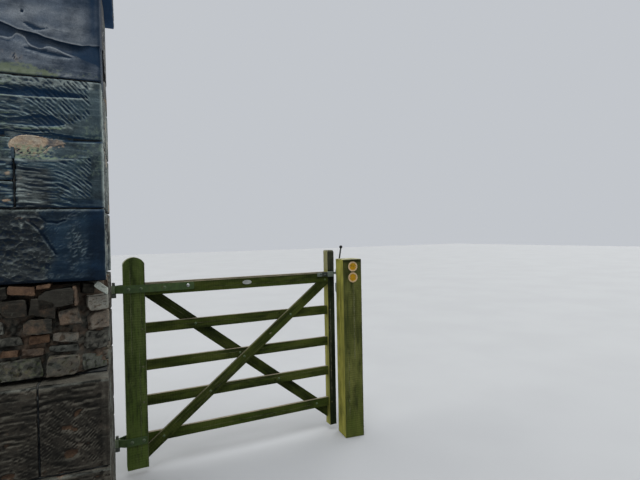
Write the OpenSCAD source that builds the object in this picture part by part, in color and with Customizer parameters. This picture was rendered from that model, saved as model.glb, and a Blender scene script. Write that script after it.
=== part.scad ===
// Five-bar timber bridle gate hung from an old ashlar gate pier, closing
// behind a square timber latch post.
// Millimetres. +Z up. Origin: centre of the pier's foot, at ground level.
// +X runs along the closed gate from its hanging edge to its latching edge,
// -Y is the path side, +Y is the field side, into which the gate opens.

/* [Gate leaf] */
// Overall width of the gate leaf
gate_w = 1525; // [1200:5:1830]
// Height of the tops of both stiles above ground
stile_top = 1415; // [1300:5:1500]
// Height of the feet of both stiles above ground
stile_foot = 45; // [30:5:100]
// Thickness of both stiles and of the top rail, front to back
stile_d = 70; // [65:1:80]
// Width of the hanging stile
heel_w = 130; // [110:1:150]
// Rise of the hanging stile's arched top
heel_rise = 42; // [20:1:60]
// Width of the latching stile
head_w = 57; // [50:1:80]
// Height of the top rail's upper edge above ground
top_rail_top = 1246; // [1230:1:1260]
// Depth of the top rail, top to bottom
top_rail_h = 80; // [75:1:90]
// Depth of each lower rail, top to bottom
rail_h = 69; // [60:1:75]
// Thickness of the lower rails and braces
rail_t = 22; // [20:1:23]
// Width of the front brace
front_brace_w = 70; // [60:1:80]
// Width of the rear brace
rear_brace_w = 76; // [60:1:80]

/* [Hinges] */
// Distance from the pin to the hanging edge of the gate
pin_gap = 56; // [50:1:70]
// Diameter of the hook pins
pin_d = 19; // [16:1:22]
// Height of the straps
strap_h = 50; // [40:1:60]
// Thickness of the straps
strap_t = 6; // [5:1:8]
// Width of the straps' nuts across their flats
nut_w = 18.5; // [17:0.5:19]
// Height of the middle of the top strap above ground
strap_z = 1211; // [1195:1:1215]
// Reach of the top strap past the hanging edge
strap_l = 443; // [400:1:600]
// Reach of the bottom band past the hanging edge
band_l = 122; // [100:1:128]

/* [Latch post] */
// Side of the square latch post
post_w = 150; // [125:1:175]
// Height of the latch post
post_h = 1350; // [1300:1:1400]
// Angle of the latch post to the closed gate, seen from above
post_turn = -7.1; // [-9:0.1:-5]
// Diameter of the waymark discs
disc_d = 75; // [70:1:80]

/* [Pier] */
// Side of the square pier shaft
pier_w = 720; // [700:5:740]
// Angle of the pier to the closed gate, seen from above
pier_turn = -4.2; // [-5:0.1:-3.5]
// Overhang of the capstone past the shaft
cap_over = 50; // [40:1:60]
// Height of the capstone's underside above ground
cap_z = 2850; // [2700:10:3000]

/* [Hidden] */
$fn = 96;

// heel's outer front arris, seen from the middle of the pier
gate_x = 452;
gate_y = 378;
// latch post's rear left arris, in the gate's own frame
post_x = gate_w + 1;
post_y = -26;
// hook pin, in the gate's own frame
pin_x = -pin_gap;
pin_y = stile_d / 2;
// rails are tenoned into the middle of the stiles
rail_y = (stile_d - rail_t) / 2;
heel_tenon = 60;
head_tenon = 36;
// undersides of the four lower rails
rail_z = [913.5, 669.5, 437.5, 192.5];
top_rail_z = top_rail_top - top_rail_h;
// heights of the braces' centre lines at the stiles
brace_in = heel_w;
brace_out = gate_w - head_w;
front_brace_z = [152, 1197];
rear_brace_z = [1203, 146];
band_z = rail_z[3] + rail_h / 2;
// beds of the pier's courses
bed = [0, 450, 880, 1340, 1685, 2005, 2283, cap_z];
bore_r = pin_d / 2 + 0.08;

stone_c = "#2e3033";
brown_c = "#6b4a36";
cap_c = "#3b3c3a";
oak_c = "#4a4c33";
dark_oak_c = "#33351f";
post_c = "#5c5b31";
iron_c = "#2f3634";
zinc_c = "#9aa09c";
black_c = "#1b1d1d";

module in_pier() rotate([0, 0, pier_turn]) children();
module in_gate() translate([gate_x, gate_y, 0]) children();
module in_post() in_gate() translate([post_x, post_y, 0]) rotate([0, 0, post_turn]) children();
// a flat outline drawn in X and Z, given a thickness from y0 to y1
module plate(y0, y1) translate([0, y1, 0]) rotate([90, 0, 0]) linear_extrude(y1 - y0) children();
module box(x0, x1, y0, y1, z0, z1) translate([x0, y0, z0]) cube([x1 - x0, y1 - y0, z1 - z0]);

// ---- pier ----
module course(z0, z1) in_pier() box(-pier_w / 2, pier_w / 2, -pier_w / 2, pier_w / 2, z0, z1);

module pier_base_course() color(brown_c) course(bed[0], bed[1]);
module pier_lower_course() color(brown_c) course(bed[1], bed[2]);
// the front of this course has weathered back and lost its corner
module pier_broken_course() color(brown_c) in_pier()
    translate([0, 0, bed[2]]) linear_extrude(bed[3] - bed[2])
        polygon([[-pier_w / 2, -pier_w / 2 + 45], [pier_w / 2 - 150, -pier_w / 2 + 60],
            [pier_w / 2 - 12, -pier_w / 2 + 170], [pier_w / 2, -pier_w / 2 + 260],
            [pier_w / 2, pier_w / 2], [-pier_w / 2, pier_w / 2]]);
module pier_third_course() color(stone_c) course(bed[3], bed[4]);
module pier_second_course() color(stone_c) course(bed[4], bed[5]);
module pier_first_course() color(stone_c) course(bed[5], bed[6]);
module pier_top_course() color(stone_c) course(bed[6], bed[7]);

module cap_slab() color(cap_c) in_pier() {
    s = pier_w / 2 + cap_over;
    box(-s, s, -s, s, cap_z, cap_z + 150);
}
module cap_step() color(cap_c) in_pier() {
    s = pier_w / 2 + cap_over - 40;
    box(-s, s, -s, s, cap_z + 150, cap_z + 250);
}
// low pyramid that sheds the rain
module cap_crown() color(cap_c) in_pier() translate([0, 0, cap_z + 250]) {
    s = pier_w / 2 + cap_over - 80;
    hull() {
        translate([-s, -s, 0]) cube([2 * s, 2 * s, 30]);
        translate([-60, -60, 200]) cube([120, 120, 10]);
    }
}

// ---- hooks built on the pier's rear face ----
// pin seen from the pier: found by turning the gate's frame back
function turned(x, y, a) = [x * cos(a) + y * sin(a), -x * sin(a) + y * cos(a)];
pin_p = turned(gate_x + pin_x, gate_y + pin_y, pier_turn);
module hook_plate(z) in_pier()
    box(pier_w / 2 - 215, pier_w / 2 - 8, pier_w / 2, pier_w / 2 + 8, z - 30, z + 30);
// cranked arm with an upright pin
module hook(z, top) in_pier() {
    difference() {
        translate([0, 0, z - 12]) linear_extrude(24)
            polygon([[pier_w / 2 - 36, pier_w / 2 + 8], [pier_w / 2 - 12, pier_w / 2 + 8],
                [pier_w / 2 - 12, pin_p[1] - 15], [pin_p[0] + 15, pin_p[1] - 15],
                [pin_p[0] + 15, pin_p[1] + 15], [pier_w / 2 - 36, pin_p[1] + 15]]);
        translate([pin_p[0], pin_p[1], z - 13]) cylinder(d = pin_d, h = 26);
    }
    translate([pin_p[0], pin_p[1], z - 12]) cylinder(d = pin_d, h = top - z + 12);
}
top_arm_z = strap_z - strap_h / 2 - 15;
bottom_arm_z = band_z - strap_h / 2 - 14;
module top_hook_plate() color(iron_c) hook_plate(top_arm_z);
module top_hook() color(iron_c) hook(top_arm_z, strap_z + strap_h / 2 + 20);
module bottom_hook_plate() color(iron_c) hook_plate(bottom_arm_z);
module bottom_hook() color(iron_c) hook(bottom_arm_z, band_z + strap_h / 2 + 20);

// ---- latch post ----
// square post with a slight bevel round its sawn top
module latch_post() color(post_c) in_post() difference() {
    box(0, post_w, -post_w, 0, 0, post_h);
    for (a = [0 : 90 : 270]) translate([post_w / 2, -post_w / 2, post_h]) rotate([0, 0, a])
        translate([-post_w, post_w / 2, 0]) rotate([45, 0, 0]) translate([0, -5, -5]) cube([2 * post_w, 10, 10]);
}
module disc(z) in_post() translate([post_w / 2 + 4, -post_w, z]) rotate([90, 0, 0]) cylinder(d = disc_d, h = 3);
module upper_waymark_disc() color("#d8bf9a") disc(1292);
module lower_waymark_disc() color("#d8bf9a") disc(1210);

// ---- latch on the post's rear face ----
pivot_u = 46;
pivot_z = 1112;
module latch_back_plate() color(zinc_c) in_post() box(3, 93, 0, 5, 1040, 1185);
// rounded housing in front of the catch
module latch_housing() color(zinc_c) in_post() difference() {
    plate(5, 27) union() {
        translate([37, 1101]) circle(34);
        translate([61, 1091]) circle(24);
        translate([3, 1101]) square([82, 57]);
        translate([37, 1067]) square([24, 60]);
        translate([61, 1091]) square([24, 40]);
    }
    translate([pivot_u, 28, pivot_z]) rotate([90, 0, 0]) cylinder(r = 6, h = 30);
}
module latch_pivot() color(zinc_c) in_post() {
    translate([pivot_u, 40, pivot_z]) rotate([90, 0, 0]) cylinder(r = 6, h = 35);
    translate([pivot_u, 47, pivot_z]) rotate([90, 0, 0]) cylinder(r = 11, h = 7);
}
// sprung catch: its nose stands behind the striker's tip
module latch_catch() color(zinc_c) in_post() difference() {
    plate(32, 38) union() {
        translate([pivot_u, pivot_z]) circle(20);
        translate([pivot_u - 12, pivot_z]) square([24, 150]);
        translate([12, 1222]) square([pivot_u, 40]);
    }
    translate([pivot_u, 39, pivot_z]) rotate([90, 0, 0]) cylinder(r = 6.08, h = 8);
}
rod_v = 42;
knob = [64, 1436];
module rod_shape() {
    translate([pivot_u + 4, rod_v, 1146]) cylinder(d = 12, h = 1350 - 1146);
    translate([pivot_u + 4, rod_v, 1350]) sphere(d = 12);
    translate([pivot_u + 4, rod_v, 1350])
        rotate([0, atan2(knob[0] - pivot_u - 4, knob[1] - 1350), 0])
            cylinder(d = 12, h = norm([knob[0] - pivot_u - 4, knob[1] - 1350]) - 6);
}
module lever_rod() color(black_c) in_post() difference() {
    rod_shape();
    box(0, 100, 20, 38, 1140, 1263);
}
module lever_knob() color(black_c) in_post() difference() {
    translate([knob[0], rod_v, knob[1]]) sphere(r = 13);
    rod_shape();
}

// ---- gate leaf ----
module heel_outline() {
    r = (pow(heel_w / 2, 2) + pow(heel_rise, 2)) / (2 * heel_rise);
    translate([0, stile_foot]) square([heel_w, stile_top - heel_rise - stile_foot]);
    intersection() {
        translate([heel_w / 2, stile_top - r]) circle(r);
        translate([0, stile_top - heel_rise - 1]) square([heel_w, heel_rise + 2]);
    }
}
module tenons() for (z = rail_z)
    box(heel_w - heel_tenon, gate_w - head_w + head_tenon, rail_y, rail_y + rail_t, z, z + rail_h);
module top_tenon() box(heel_w - heel_tenon, gate_w - head_w + head_tenon,
    rail_y, rail_y + rail_t, top_rail_z + 8, top_rail_top - 16);
module heel_stile() color(oak_c) in_gate() difference() {
    plate(0, stile_d) heel_outline();
    tenons();
    top_tenon();
}
module head_stile() color(dark_oak_c) in_gate() difference() {
    plate(0, stile_d) polygon([[gate_w - head_w, stile_foot], [gate_w, stile_foot],
        [gate_w, stile_top - 14], [gate_w - 14, stile_top], [gate_w - head_w + 8, stile_top],
        [gate_w - head_w, stile_top - 8]]);
    tenons();
    top_tenon();
}
// strip along a line between the stiles, cut off at the stiles and at height top
module brace_outline(z, w, top) intersection() {
    l = norm([brace_out - brace_in, z[1] - z[0]]);
    translate([brace_in, z[0]]) rotate(atan2(z[1] - z[0], brace_out - brace_in))
        translate([-100, -w / 2]) square([l + 200, w]);
    translate([brace_in, stile_foot]) square([brace_out - brace_in, top - stile_foot]);
}
module front_brace() color(oak_c) in_gate()
    plate(2, rail_y) brace_outline(front_brace_z, front_brace_w, top_rail_top - 12);
module rear_brace() color(oak_c) in_gate()
    plate(rail_y + rail_t, stile_d - 2) brace_outline(rear_brace_z, rear_brace_w, top_rail_top - 12);
// top rail: full thickness, upper edges bevelled, halved for the braces
module top_rail() color(oak_c) in_gate() difference() {
    union() {
        translate([brace_in, 0, 0]) rotate([90, 0, 90]) linear_extrude(brace_out - brace_in)
            polygon([[0, top_rail_z], [stile_d, top_rail_z], [stile_d, top_rail_top - 8],
                [stile_d - 8, top_rail_top], [8, top_rail_top], [0, top_rail_top - 8]]);
        top_tenon();
    }
    plate(-1, rail_y) brace_outline(front_brace_z, front_brace_w, top_rail_top - 12);
    plate(rail_y + rail_t, stile_d + 1) brace_outline(rear_brace_z, rear_brace_w, top_rail_top - 12);
}
module rail(i) in_gate() box(heel_w - heel_tenon, gate_w - head_w + head_tenon,
    rail_y, rail_y + rail_t, rail_z[i], rail_z[i] + rail_h);
module second_rail() color(oak_c) rail(0);
module third_rail() color(oak_c) rail(1);
module fourth_rail() color(oak_c) rail(2);
module bottom_rail() color(oak_c) rail(3);

// ---- straps and eyes ----
// one leaf of a strap, cranked in to the eye; s = 1 front, -1 rear
module strap(z, l, s) in_gate() difference() {
    translate([0, pin_y, z - strap_h / 2]) scale([1, s, 1]) linear_extrude(strap_h)
        polygon([[-6, -pin_y - strap_t], [l, -pin_y - strap_t], [l, -pin_y], [-3, -pin_y],
            [pin_x + 4, -6], [pin_x - 2, -12]]);
    translate([pin_x, pin_y, z - strap_h / 2 - 1]) cylinder(r = bore_r + 6.5, h = strap_h + 2);
}
// washers, nuts and bolt ends on a rear leaf, where the bolts come through
module nuts(z, at) in_gate() for (x = at)
    translate([x, stile_d + strap_t - 1, z]) rotate([-90, 0, 0]) {
        cylinder(d = 28, h = 3);
        cylinder(d = nut_w / cos(30), h = 11.8, $fn = 6);
        cylinder(d = 11.6, h = 17.5);
    }
module eye(z) in_gate() translate([pin_x, pin_y, z - strap_h / 2]) difference() {
    cylinder(r = bore_r + 6.5, h = strap_h);
    translate([0, 0, -1]) cylinder(r = bore_r, h = strap_h + 2);
}
module top_strap_front() color(iron_c) strap(strap_z, strap_l, 1);
module top_strap_rear() color(iron_c) union() {
    strap(strap_z, strap_l, -1);
    nuts(strap_z, [30, 104, 250, strap_l - 41]);
}
module top_eye() color(iron_c) eye(strap_z);
module bottom_band_front() color(iron_c) strap(band_z, band_l, 1);
module bottom_band_rear() color(iron_c) union() {
    strap(band_z, band_l, -1);
    nuts(band_z, [30, band_l - 22]);
}
module bottom_eye() color(iron_c) eye(band_z);

// ---- ironwork on the latching end ----
module striker_bar() color(black_c) in_gate() union() {
    box(gate_w - 148, gate_w - 60, -8, 0, 1213, 1243);
    box(gate_w - 62, gate_w - 9, -14, 0, 1208, 1249);
    box(gate_w - 10, gate_w + 35, -14, -6, 1227, 1243);
}
// small plain oval plate
module oval_plate() color("#a9aaa6") in_gate() translate([816, 0, 1208])
    rotate([90, 0, 0]) intersection() {
        translate([0, -30, 0]) cylinder(r = 45, h = 2);
        translate([0, 30, 0]) cylinder(r = 45, h = 2);
    }

pier_base_course();
pier_lower_course();
pier_broken_course();
pier_third_course();
pier_second_course();
pier_first_course();
pier_top_course();
cap_slab();
cap_step();
cap_crown();
top_hook_plate();
top_hook();
bottom_hook_plate();
bottom_hook();
latch_post();
upper_waymark_disc();
lower_waymark_disc();
latch_back_plate();
latch_housing();
latch_pivot();
heel_stile();
head_stile();
top_rail();
second_rail();
third_rail();
fourth_rail();
bottom_rail();
front_brace();
rear_brace();
top_strap_front();
top_strap_rear();
top_eye();
bottom_band_front();
bottom_band_rear();
bottom_eye();
striker_bar();
oval_plate();
latch_catch();
lever_rod();
lever_knob();
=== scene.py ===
import math

import bmesh
import bpy
import numpy as np
from mathutils import Matrix, Vector


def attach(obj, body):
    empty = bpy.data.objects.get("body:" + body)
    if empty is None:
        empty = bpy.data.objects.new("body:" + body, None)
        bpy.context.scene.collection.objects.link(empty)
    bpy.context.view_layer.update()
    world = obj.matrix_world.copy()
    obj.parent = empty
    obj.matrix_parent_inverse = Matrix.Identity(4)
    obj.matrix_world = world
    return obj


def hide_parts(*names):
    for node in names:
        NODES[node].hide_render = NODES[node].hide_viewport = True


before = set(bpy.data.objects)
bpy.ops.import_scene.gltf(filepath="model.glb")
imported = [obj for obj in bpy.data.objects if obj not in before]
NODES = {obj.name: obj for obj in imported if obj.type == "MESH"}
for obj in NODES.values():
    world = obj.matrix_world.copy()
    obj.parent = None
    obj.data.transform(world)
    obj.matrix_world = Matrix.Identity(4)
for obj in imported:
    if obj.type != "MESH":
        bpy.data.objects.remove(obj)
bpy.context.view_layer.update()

SCALE = 1.0

# Frames of the part's groups: x, y of the origin in mm and turn about Z.
FRAMES = {
    "pier": (0.0, 0.0, math.radians(-4.2)),
    "gate": (452.0, 378.0, 0.0),
    "post": (452.0 + 1526.0, 378.0 - 26.0, math.radians(-7.1)),
}


def to_frame(P, name):
    """Points in mm in a group's own frame, turned and moved to the part's frame, in metres."""
    x, y, t = FRAMES[name]
    c, s = math.cos(t), math.sin(t)
    Q = np.empty_like(P)
    Q[:, 0] = c * P[:, 0] - s * P[:, 1] + x
    Q[:, 1] = s * P[:, 0] + c * P[:, 1] + y
    Q[:, 2] = P[:, 2]
    return Q / 1000.0


# ---------------------------------------------------------------- noise
def _hash(ix, iy, iz, seed):
    h = (
        (ix * np.uint32(0x8DA6B343))
        ^ (iy * np.uint32(0xD8163841))
        ^ (iz * np.uint32(0xCB1AB31F))
        ^ np.uint32((seed * 0x9E3779B1) & 0xFFFFFFFF)
    )
    h ^= h >> np.uint32(15)
    h *= np.uint32(0x2C1B3C6D)
    h ^= h >> np.uint32(12)
    h *= np.uint32(0x297A2D39)
    h ^= h >> np.uint32(15)
    return h


def noise(P, seed=0):
    """Gradient noise of points (N, 3), about -1 to 1."""
    with np.errstate(over="ignore"):
        base = np.floor(P)
        F = P - base
        I = base.astype(np.int64).astype(np.uint32)
        U = F * F * F * (F * (F * 6 - 15) + 10)
        out = np.zeros(len(P))
        for dx in (0, 1):
            wx = U[:, 0] if dx else 1 - U[:, 0]
            for dy in (0, 1):
                wy = U[:, 1] if dy else 1 - U[:, 1]
                for dz in (0, 1):
                    wz = U[:, 2] if dz else 1 - U[:, 2]
                    h = _hash(I[:, 0] + np.uint32(dx), I[:, 1] + np.uint32(dy), I[:, 2] + np.uint32(dz), seed)
                    gx = (h & np.uint32(1023)) / 511.5 - 1
                    gy = ((h >> np.uint32(10)) & np.uint32(1023)) / 511.5 - 1
                    gz = ((h >> np.uint32(20)) & np.uint32(1023)) / 511.5 - 1
                    out += wx * wy * wz * (gx * (F[:, 0] - dx) + gy * (F[:, 1] - dy) + gz * (F[:, 2] - dz))
    return out * 1.35


def fbm(P, octaves=4, seed=0, gain=0.5):
    total, amp, norm = np.zeros(len(P)), 1.0, 0.0
    for o in range(octaves):
        total += amp * noise(P * (2.0**o) + 17.31 * o, seed + 101 * o)
        norm += amp
        amp *= gain
    return total / norm


def n2(a, b, sa, sb, seed=0, octaves=3, gain=0.5):
    """Noise over two coordinates in mm with feature sizes sa and sb in mm."""
    return fbm(np.stack([a / sa, b / sb, np.full(len(a), 0.37 + seed * 0.731)], 1), octaves, seed, gain)


def sm(t):
    t = np.clip(t, 0, 1)
    return t * t * (3 - 2 * t)


def bump(d, w):
    """1 at d = 0, falling to 0 over the width w."""
    return np.exp(-((d / w) ** 2))


# ---------------------------------------------------------------- lattice boxes
def ticks(lo, hi, step, r, fine=()):
    """Places from lo to hi, close together within r of the ends. fine = (lo, hi, step) for a finer stretch."""
    a, b = lo + 1.3 * r, hi - 1.3 * r
    if fine:
        f0, f1, fs = max(a, fine[0]), min(b, fine[1]), fine[2]
        parts = []
        if f0 > a + step:
            parts.append(np.linspace(a, f0, max(1, int(round((f0 - a) / step))) + 1)[:-1])
        else:
            f0 = a
        rest = b - f1
        if rest <= step:
            f1 = b
        parts.append(np.linspace(f0, f1, max(1, int(round((f1 - f0) / fs))) + 1))
        if f1 < b:
            parts.append(np.linspace(f1, b, max(1, int(round((b - f1) / step))) + 1)[1:])
        mid = np.concatenate(parts)
    else:
        mid = np.linspace(a, b, max(1, int(round((b - a) / step))) + 1)
    return np.concatenate([[lo, lo + 0.28 * r, lo + 0.7 * r], mid, [hi - 0.7 * r, hi - 0.28 * r, hi]])


def lattice(n, rim=None, hidden=((2, 0), (2, 1))):
    """Surface of an n[0] x n[1] x n[2] grid: grid indices, quads, big polygons. With rim, the hidden sides, given as
    (axis, end), keep only that many rows at their edges and one polygon inside them."""
    nx, ny, nz = n
    quads, rings = [], []
    for axis in (0, 1, 2):
        u, v = [a for a in (0, 1, 2) if a != axis]
        for side in (0, 1):
            U, V = np.meshgrid(np.arange(n[u] - 1), np.arange(n[v] - 1), indexing="ij")
            U, V = U.ravel(), V.ravel()
            u1, v1 = n[u] - 1, n[v] - 1

            def number(a, b):
                c = [None] * 3
                c[axis] = np.full(np.shape(a), side * (n[axis] - 1))
                c[u], c[v] = a, b
                return (c[0] * ny + c[1]) * nz + c[2]

            if rim is not None and (axis, side) in hidden and min(u1, v1) > 2 * rim + 1:
                keep = (U < rim) | (U >= u1 - rim) | (V < rim) | (V >= v1 - rim)
                U, V = U[keep], V[keep]
                a0, a1, b0, b1 = rim, u1 - rim, rim, v1 - rim
                loop = np.array([(a, b0) for a in range(a0, a1)] + [(a1, b) for b in range(b0, b1)]
                                + [(a, b1) for a in range(a1, a0, -1)] + [(a0, b) for b in range(b1, b0, -1)])
                ring = number(loop[:, 0], loop[:, 1])
                rings.append(ring[::-1] if (side == 1) == (axis == 1) else ring)
            q = np.stack([number(U, V), number(U + 1, V), number(U + 1, V + 1), number(U, V + 1)], 1)
            if (side == 1) != (axis != 1):
                q = q[:, ::-1]
            quads.append(q)
    quads = np.concatenate(quads)
    uniq, inv = np.unique(quads, return_inverse=True)
    quads = inv.reshape(quads.shape)
    rings = [np.searchsorted(uniq, r) for r in rings]
    ijk = np.stack([uniq // (ny * nz), (uniq // nz) % ny, uniq % nz], 1)
    return ijk, quads, rings


def rounded(P, lo, hi, r):
    """Rounds every edge and corner of a box's surface points by r (one number or one per point).
    Gives the points and their inward unit normals."""
    lo, hi = np.asarray(lo, float), np.asarray(hi, float)
    near_lo = (P - lo) < (hi - P)
    a = np.where(near_lo, P - lo, hi - P)
    sign = np.where(near_lo, 1.0, -1.0)
    r = np.broadcast_to(np.asarray(r, float), (len(P),))[:, None]
    v = np.maximum(0, r - a)
    l = np.linalg.norm(v, axis=1, keepdims=True)
    l = np.maximum(l, 1e-9)
    k = np.where(l > r, r / l, 1.0)
    moved = np.where(v > 0, r - v * k, a)
    Q = np.where(near_lo, lo + moved, hi - moved)
    return Q, sign * v / l


class Part:
    """Points in mm, faces and per-point values of one or more closed shapes."""

    def __init__(self, V, quads, rings=(), attrs=None):
        self.V, self.quads, self.rings = V, quads, list(rings)
        self.attrs = attrs or {}

    @staticmethod
    def join(parts):
        V, quads, rings, off = [], [], [], 0
        names = sorted(set(k for p in parts for k in p.attrs))
        attrs = {k: [] for k in names}
        for p in parts:
            V.append(p.V)
            quads.append(p.quads + off)
            rings += [r + off for r in p.rings]
            for k in names:
                a = p.attrs.get(k)
                attrs[k].append(np.zeros(len(p.V)) if a is None else a)
            off += len(p.V)
        return Part(np.concatenate(V), np.concatenate(quads), rings, {k: np.concatenate(v) for k, v in attrs.items()})


def curvature(V, quads, rounds):
    """How far each point stands out from its neighbourhood, in mm: above 0 on ridges, below 0 in hollows."""
    n = len(V)
    e = np.concatenate([quads[:, [0, 1]], quads[:, [1, 2]], quads[:, [2, 3]], quads[:, [3, 0]]])
    e = np.concatenate([e, e[:, ::-1]])
    count = np.bincount(e[:, 0], minlength=n).astype(float)
    count[count == 0] = 1
    fn = np.cross(V[quads[:, 2]] - V[quads[:, 0]], V[quads[:, 3]] - V[quads[:, 1]])
    N = np.zeros_like(V)
    for c in range(4):
        for k in range(3):
            N[:, k] += np.bincount(quads[:, c], weights=fn[:, k], minlength=n)
    N /= np.maximum(np.linalg.norm(N, axis=1, keepdims=True), 1e-12)
    S, out = V.copy(), []
    for step in range(max(rounds)):
        A = np.stack([np.bincount(e[:, 0], weights=S[e[:, 1], k], minlength=n) for k in range(3)], 1) / count[:, None]
        S = 0.35 * S + 0.65 * A
        if step + 1 in rounds:
            out.append(((V - S) * N).sum(1))
    return out


def build(name, part, group, body, material, node=None, rounds=(2, 12), grain=None, smooth=True, cut=None):
    """A Blender object from a Part."""
    V = to_frame(part.V, group)
    me = bpy.data.meshes.new(name)
    q = part.quads
    nq, nr = len(q), len(part.rings)
    loops = [q.ravel()] + [np.asarray(r) for r in part.rings]
    flat = np.concatenate(loops).astype(np.int32)
    sizes = np.concatenate([np.full(nq, 4), [len(r) for r in part.rings]]).astype(np.int32)
    starts = np.concatenate([[0], np.cumsum(sizes)[:-1]]).astype(np.int32)
    me.vertices.add(len(V))
    me.vertices.foreach_set("co", V.astype(np.float32).ravel())
    me.loops.add(len(flat))
    me.loops.foreach_set("vertex_index", flat)
    me.polygons.add(len(sizes))
    me.polygons.foreach_set("loop_start", starts)
    me.polygons.foreach_set("loop_total", sizes)
    me.update(calc_edges=True)
    me.validate()
    if smooth:
        me.polygons.foreach_set("use_smooth", np.ones(len(me.polygons), bool))
    attrs = dict(part.attrs)
    if rounds:
        fine, coarse = curvature(part.V, q, rounds)
        attrs["ridge"], attrs["relief"] = fine, coarse
    for k, a in attrs.items():
        if a.ndim == 2:
            at = me.attributes.new(k, "FLOAT_VECTOR", "POINT")
            at.data.foreach_set("vector", a.astype(np.float32).ravel())
        else:
            at = me.attributes.new(k, "FLOAT", "POINT")
            at.data.foreach_set("value", a.astype(np.float32))
    ob = bpy.data.objects.new(name, me)
    bpy.context.scene.collection.objects.link(ob)
    me.materials.append(material)
    if node:
        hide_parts(*([node] if isinstance(node, str) else node))
    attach(ob, body)
    return ob


# ---------------------------------------------------------------- materials
class Tree:
    """A short way to write a node material."""

    def __init__(self, name):
        self.mat = bpy.data.materials.new(name)
        self.mat.use_nodes = True
        self.t = self.mat.node_tree
        self.bsdf = self.t.nodes["Principled BSDF"]
        self.coord = self.node("ShaderNodeTexCoord").outputs["Object"]

    def node(self, kind, **props):
        n = self.t.nodes.new(kind)
        for k, v in props.items():
            setattr(n, k, v)
        return n

    def put(self, socket, value):
        if isinstance(value, bpy.types.NodeSocket):
            self.t.links.new(value, socket)
        elif isinstance(value, tuple) and len(value) == 3 and socket.type == "RGBA":
            socket.default_value = (*value, 1)
        else:
            socket.default_value = value

    def attr(self, name, vector=False):
        n = self.node("ShaderNodeAttribute", attribute_name=name)
        return n.outputs["Vector" if vector else "Fac"]

    def scaled(self, vec, s):
        n = self.node("ShaderNodeVectorMath", operation="MULTIPLY")
        self.put(n.inputs[0], vec)
        n.inputs[1].default_value = s if isinstance(s, tuple) else (s, s, s)
        return n.outputs[0]

    def noise(self, vec, scale=1.0, detail=4.0, rough=0.55, distort=0.0):
        n = self.node("ShaderNodeTexNoise")
        self.put(n.inputs["Vector"], vec)
        n.inputs["Scale"].default_value = scale
        n.inputs["Detail"].default_value = detail
        n.inputs["Roughness"].default_value = rough
        n.inputs["Distortion"].default_value = distort
        return n.outputs["Fac"]

    def cells(self, vec, scale=1.0, rnd=1.0, feature="F1"):
        n = self.node("ShaderNodeTexVoronoi", feature=feature)
        self.put(n.inputs["Vector"], vec)
        n.inputs["Scale"].default_value = scale
        n.inputs["Randomness"].default_value = rnd
        return n.outputs["Distance"]

    def math(self, op, a, b=0.0, c=0.0, clamp=False):
        n = self.node("ShaderNodeMath", operation=op, use_clamp=clamp)
        self.put(n.inputs[0], a)
        self.put(n.inputs[1], b)
        self.put(n.inputs[2], c)
        return n.outputs[0]

    def ramp(self, fac, lo, hi, a=0.0, b=1.0):
        """A smooth step of fac from a at lo to b at hi."""
        n = self.node("ShaderNodeMapRange", interpolation_type="SMOOTHSTEP")
        self.put(n.inputs["Value"], fac)
        n.inputs["From Min"].default_value = lo
        n.inputs["From Max"].default_value = hi
        n.inputs["To Min"].default_value = a
        n.inputs["To Max"].default_value = b
        return n.outputs["Result"]

    def mix(self, fac, a, b, blend="MIX"):
        n = self.node("ShaderNodeMix", data_type="RGBA", blend_type=blend)
        self.put(n.inputs["Factor"], fac)
        sockets = [s for s in n.inputs if s.type == "RGBA"]
        self.put(sockets[0], a)
        self.put(sockets[1], b)
        return [s for s in n.outputs if s.type == "RGBA"][0]

    def up(self):
        """How far the surface faces up, -1 to 1."""
        g = self.node("ShaderNodeNewGeometry")
        s = self.node("ShaderNodeSeparateXYZ")
        self.t.links.new(g.outputs["Normal"], s.inputs[0])
        return s.outputs["Z"]

    def bump(self, height, distance, strength=1.0, normal=None):
        n = self.node("ShaderNodeBump")
        n.inputs["Strength"].default_value = strength
        n.inputs["Distance"].default_value = distance
        self.put(n.inputs["Height"], height)
        if normal is not None:
            self.put(n.inputs["Normal"], normal)
        return n.outputs["Normal"]

    def done(self, color, rough, normal=None, metal=0.0, spec=0.3, coat=0.0):
        self.put(self.bsdf.inputs["Base Color"], color)
        self.put(self.bsdf.inputs["Roughness"], rough)
        self.put(self.bsdf.inputs["Metallic"], metal)
        self.bsdf.inputs["Specular IOR Level"].default_value = spec
        if coat:
            self.bsdf.inputs["Coat Weight"].default_value = coat
            self.bsdf.inputs["Coat Roughness"].default_value = 0.25
        if normal is not None:
            self.put(self.bsdf.inputs["Normal"], normal)
        return self.mat


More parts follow.
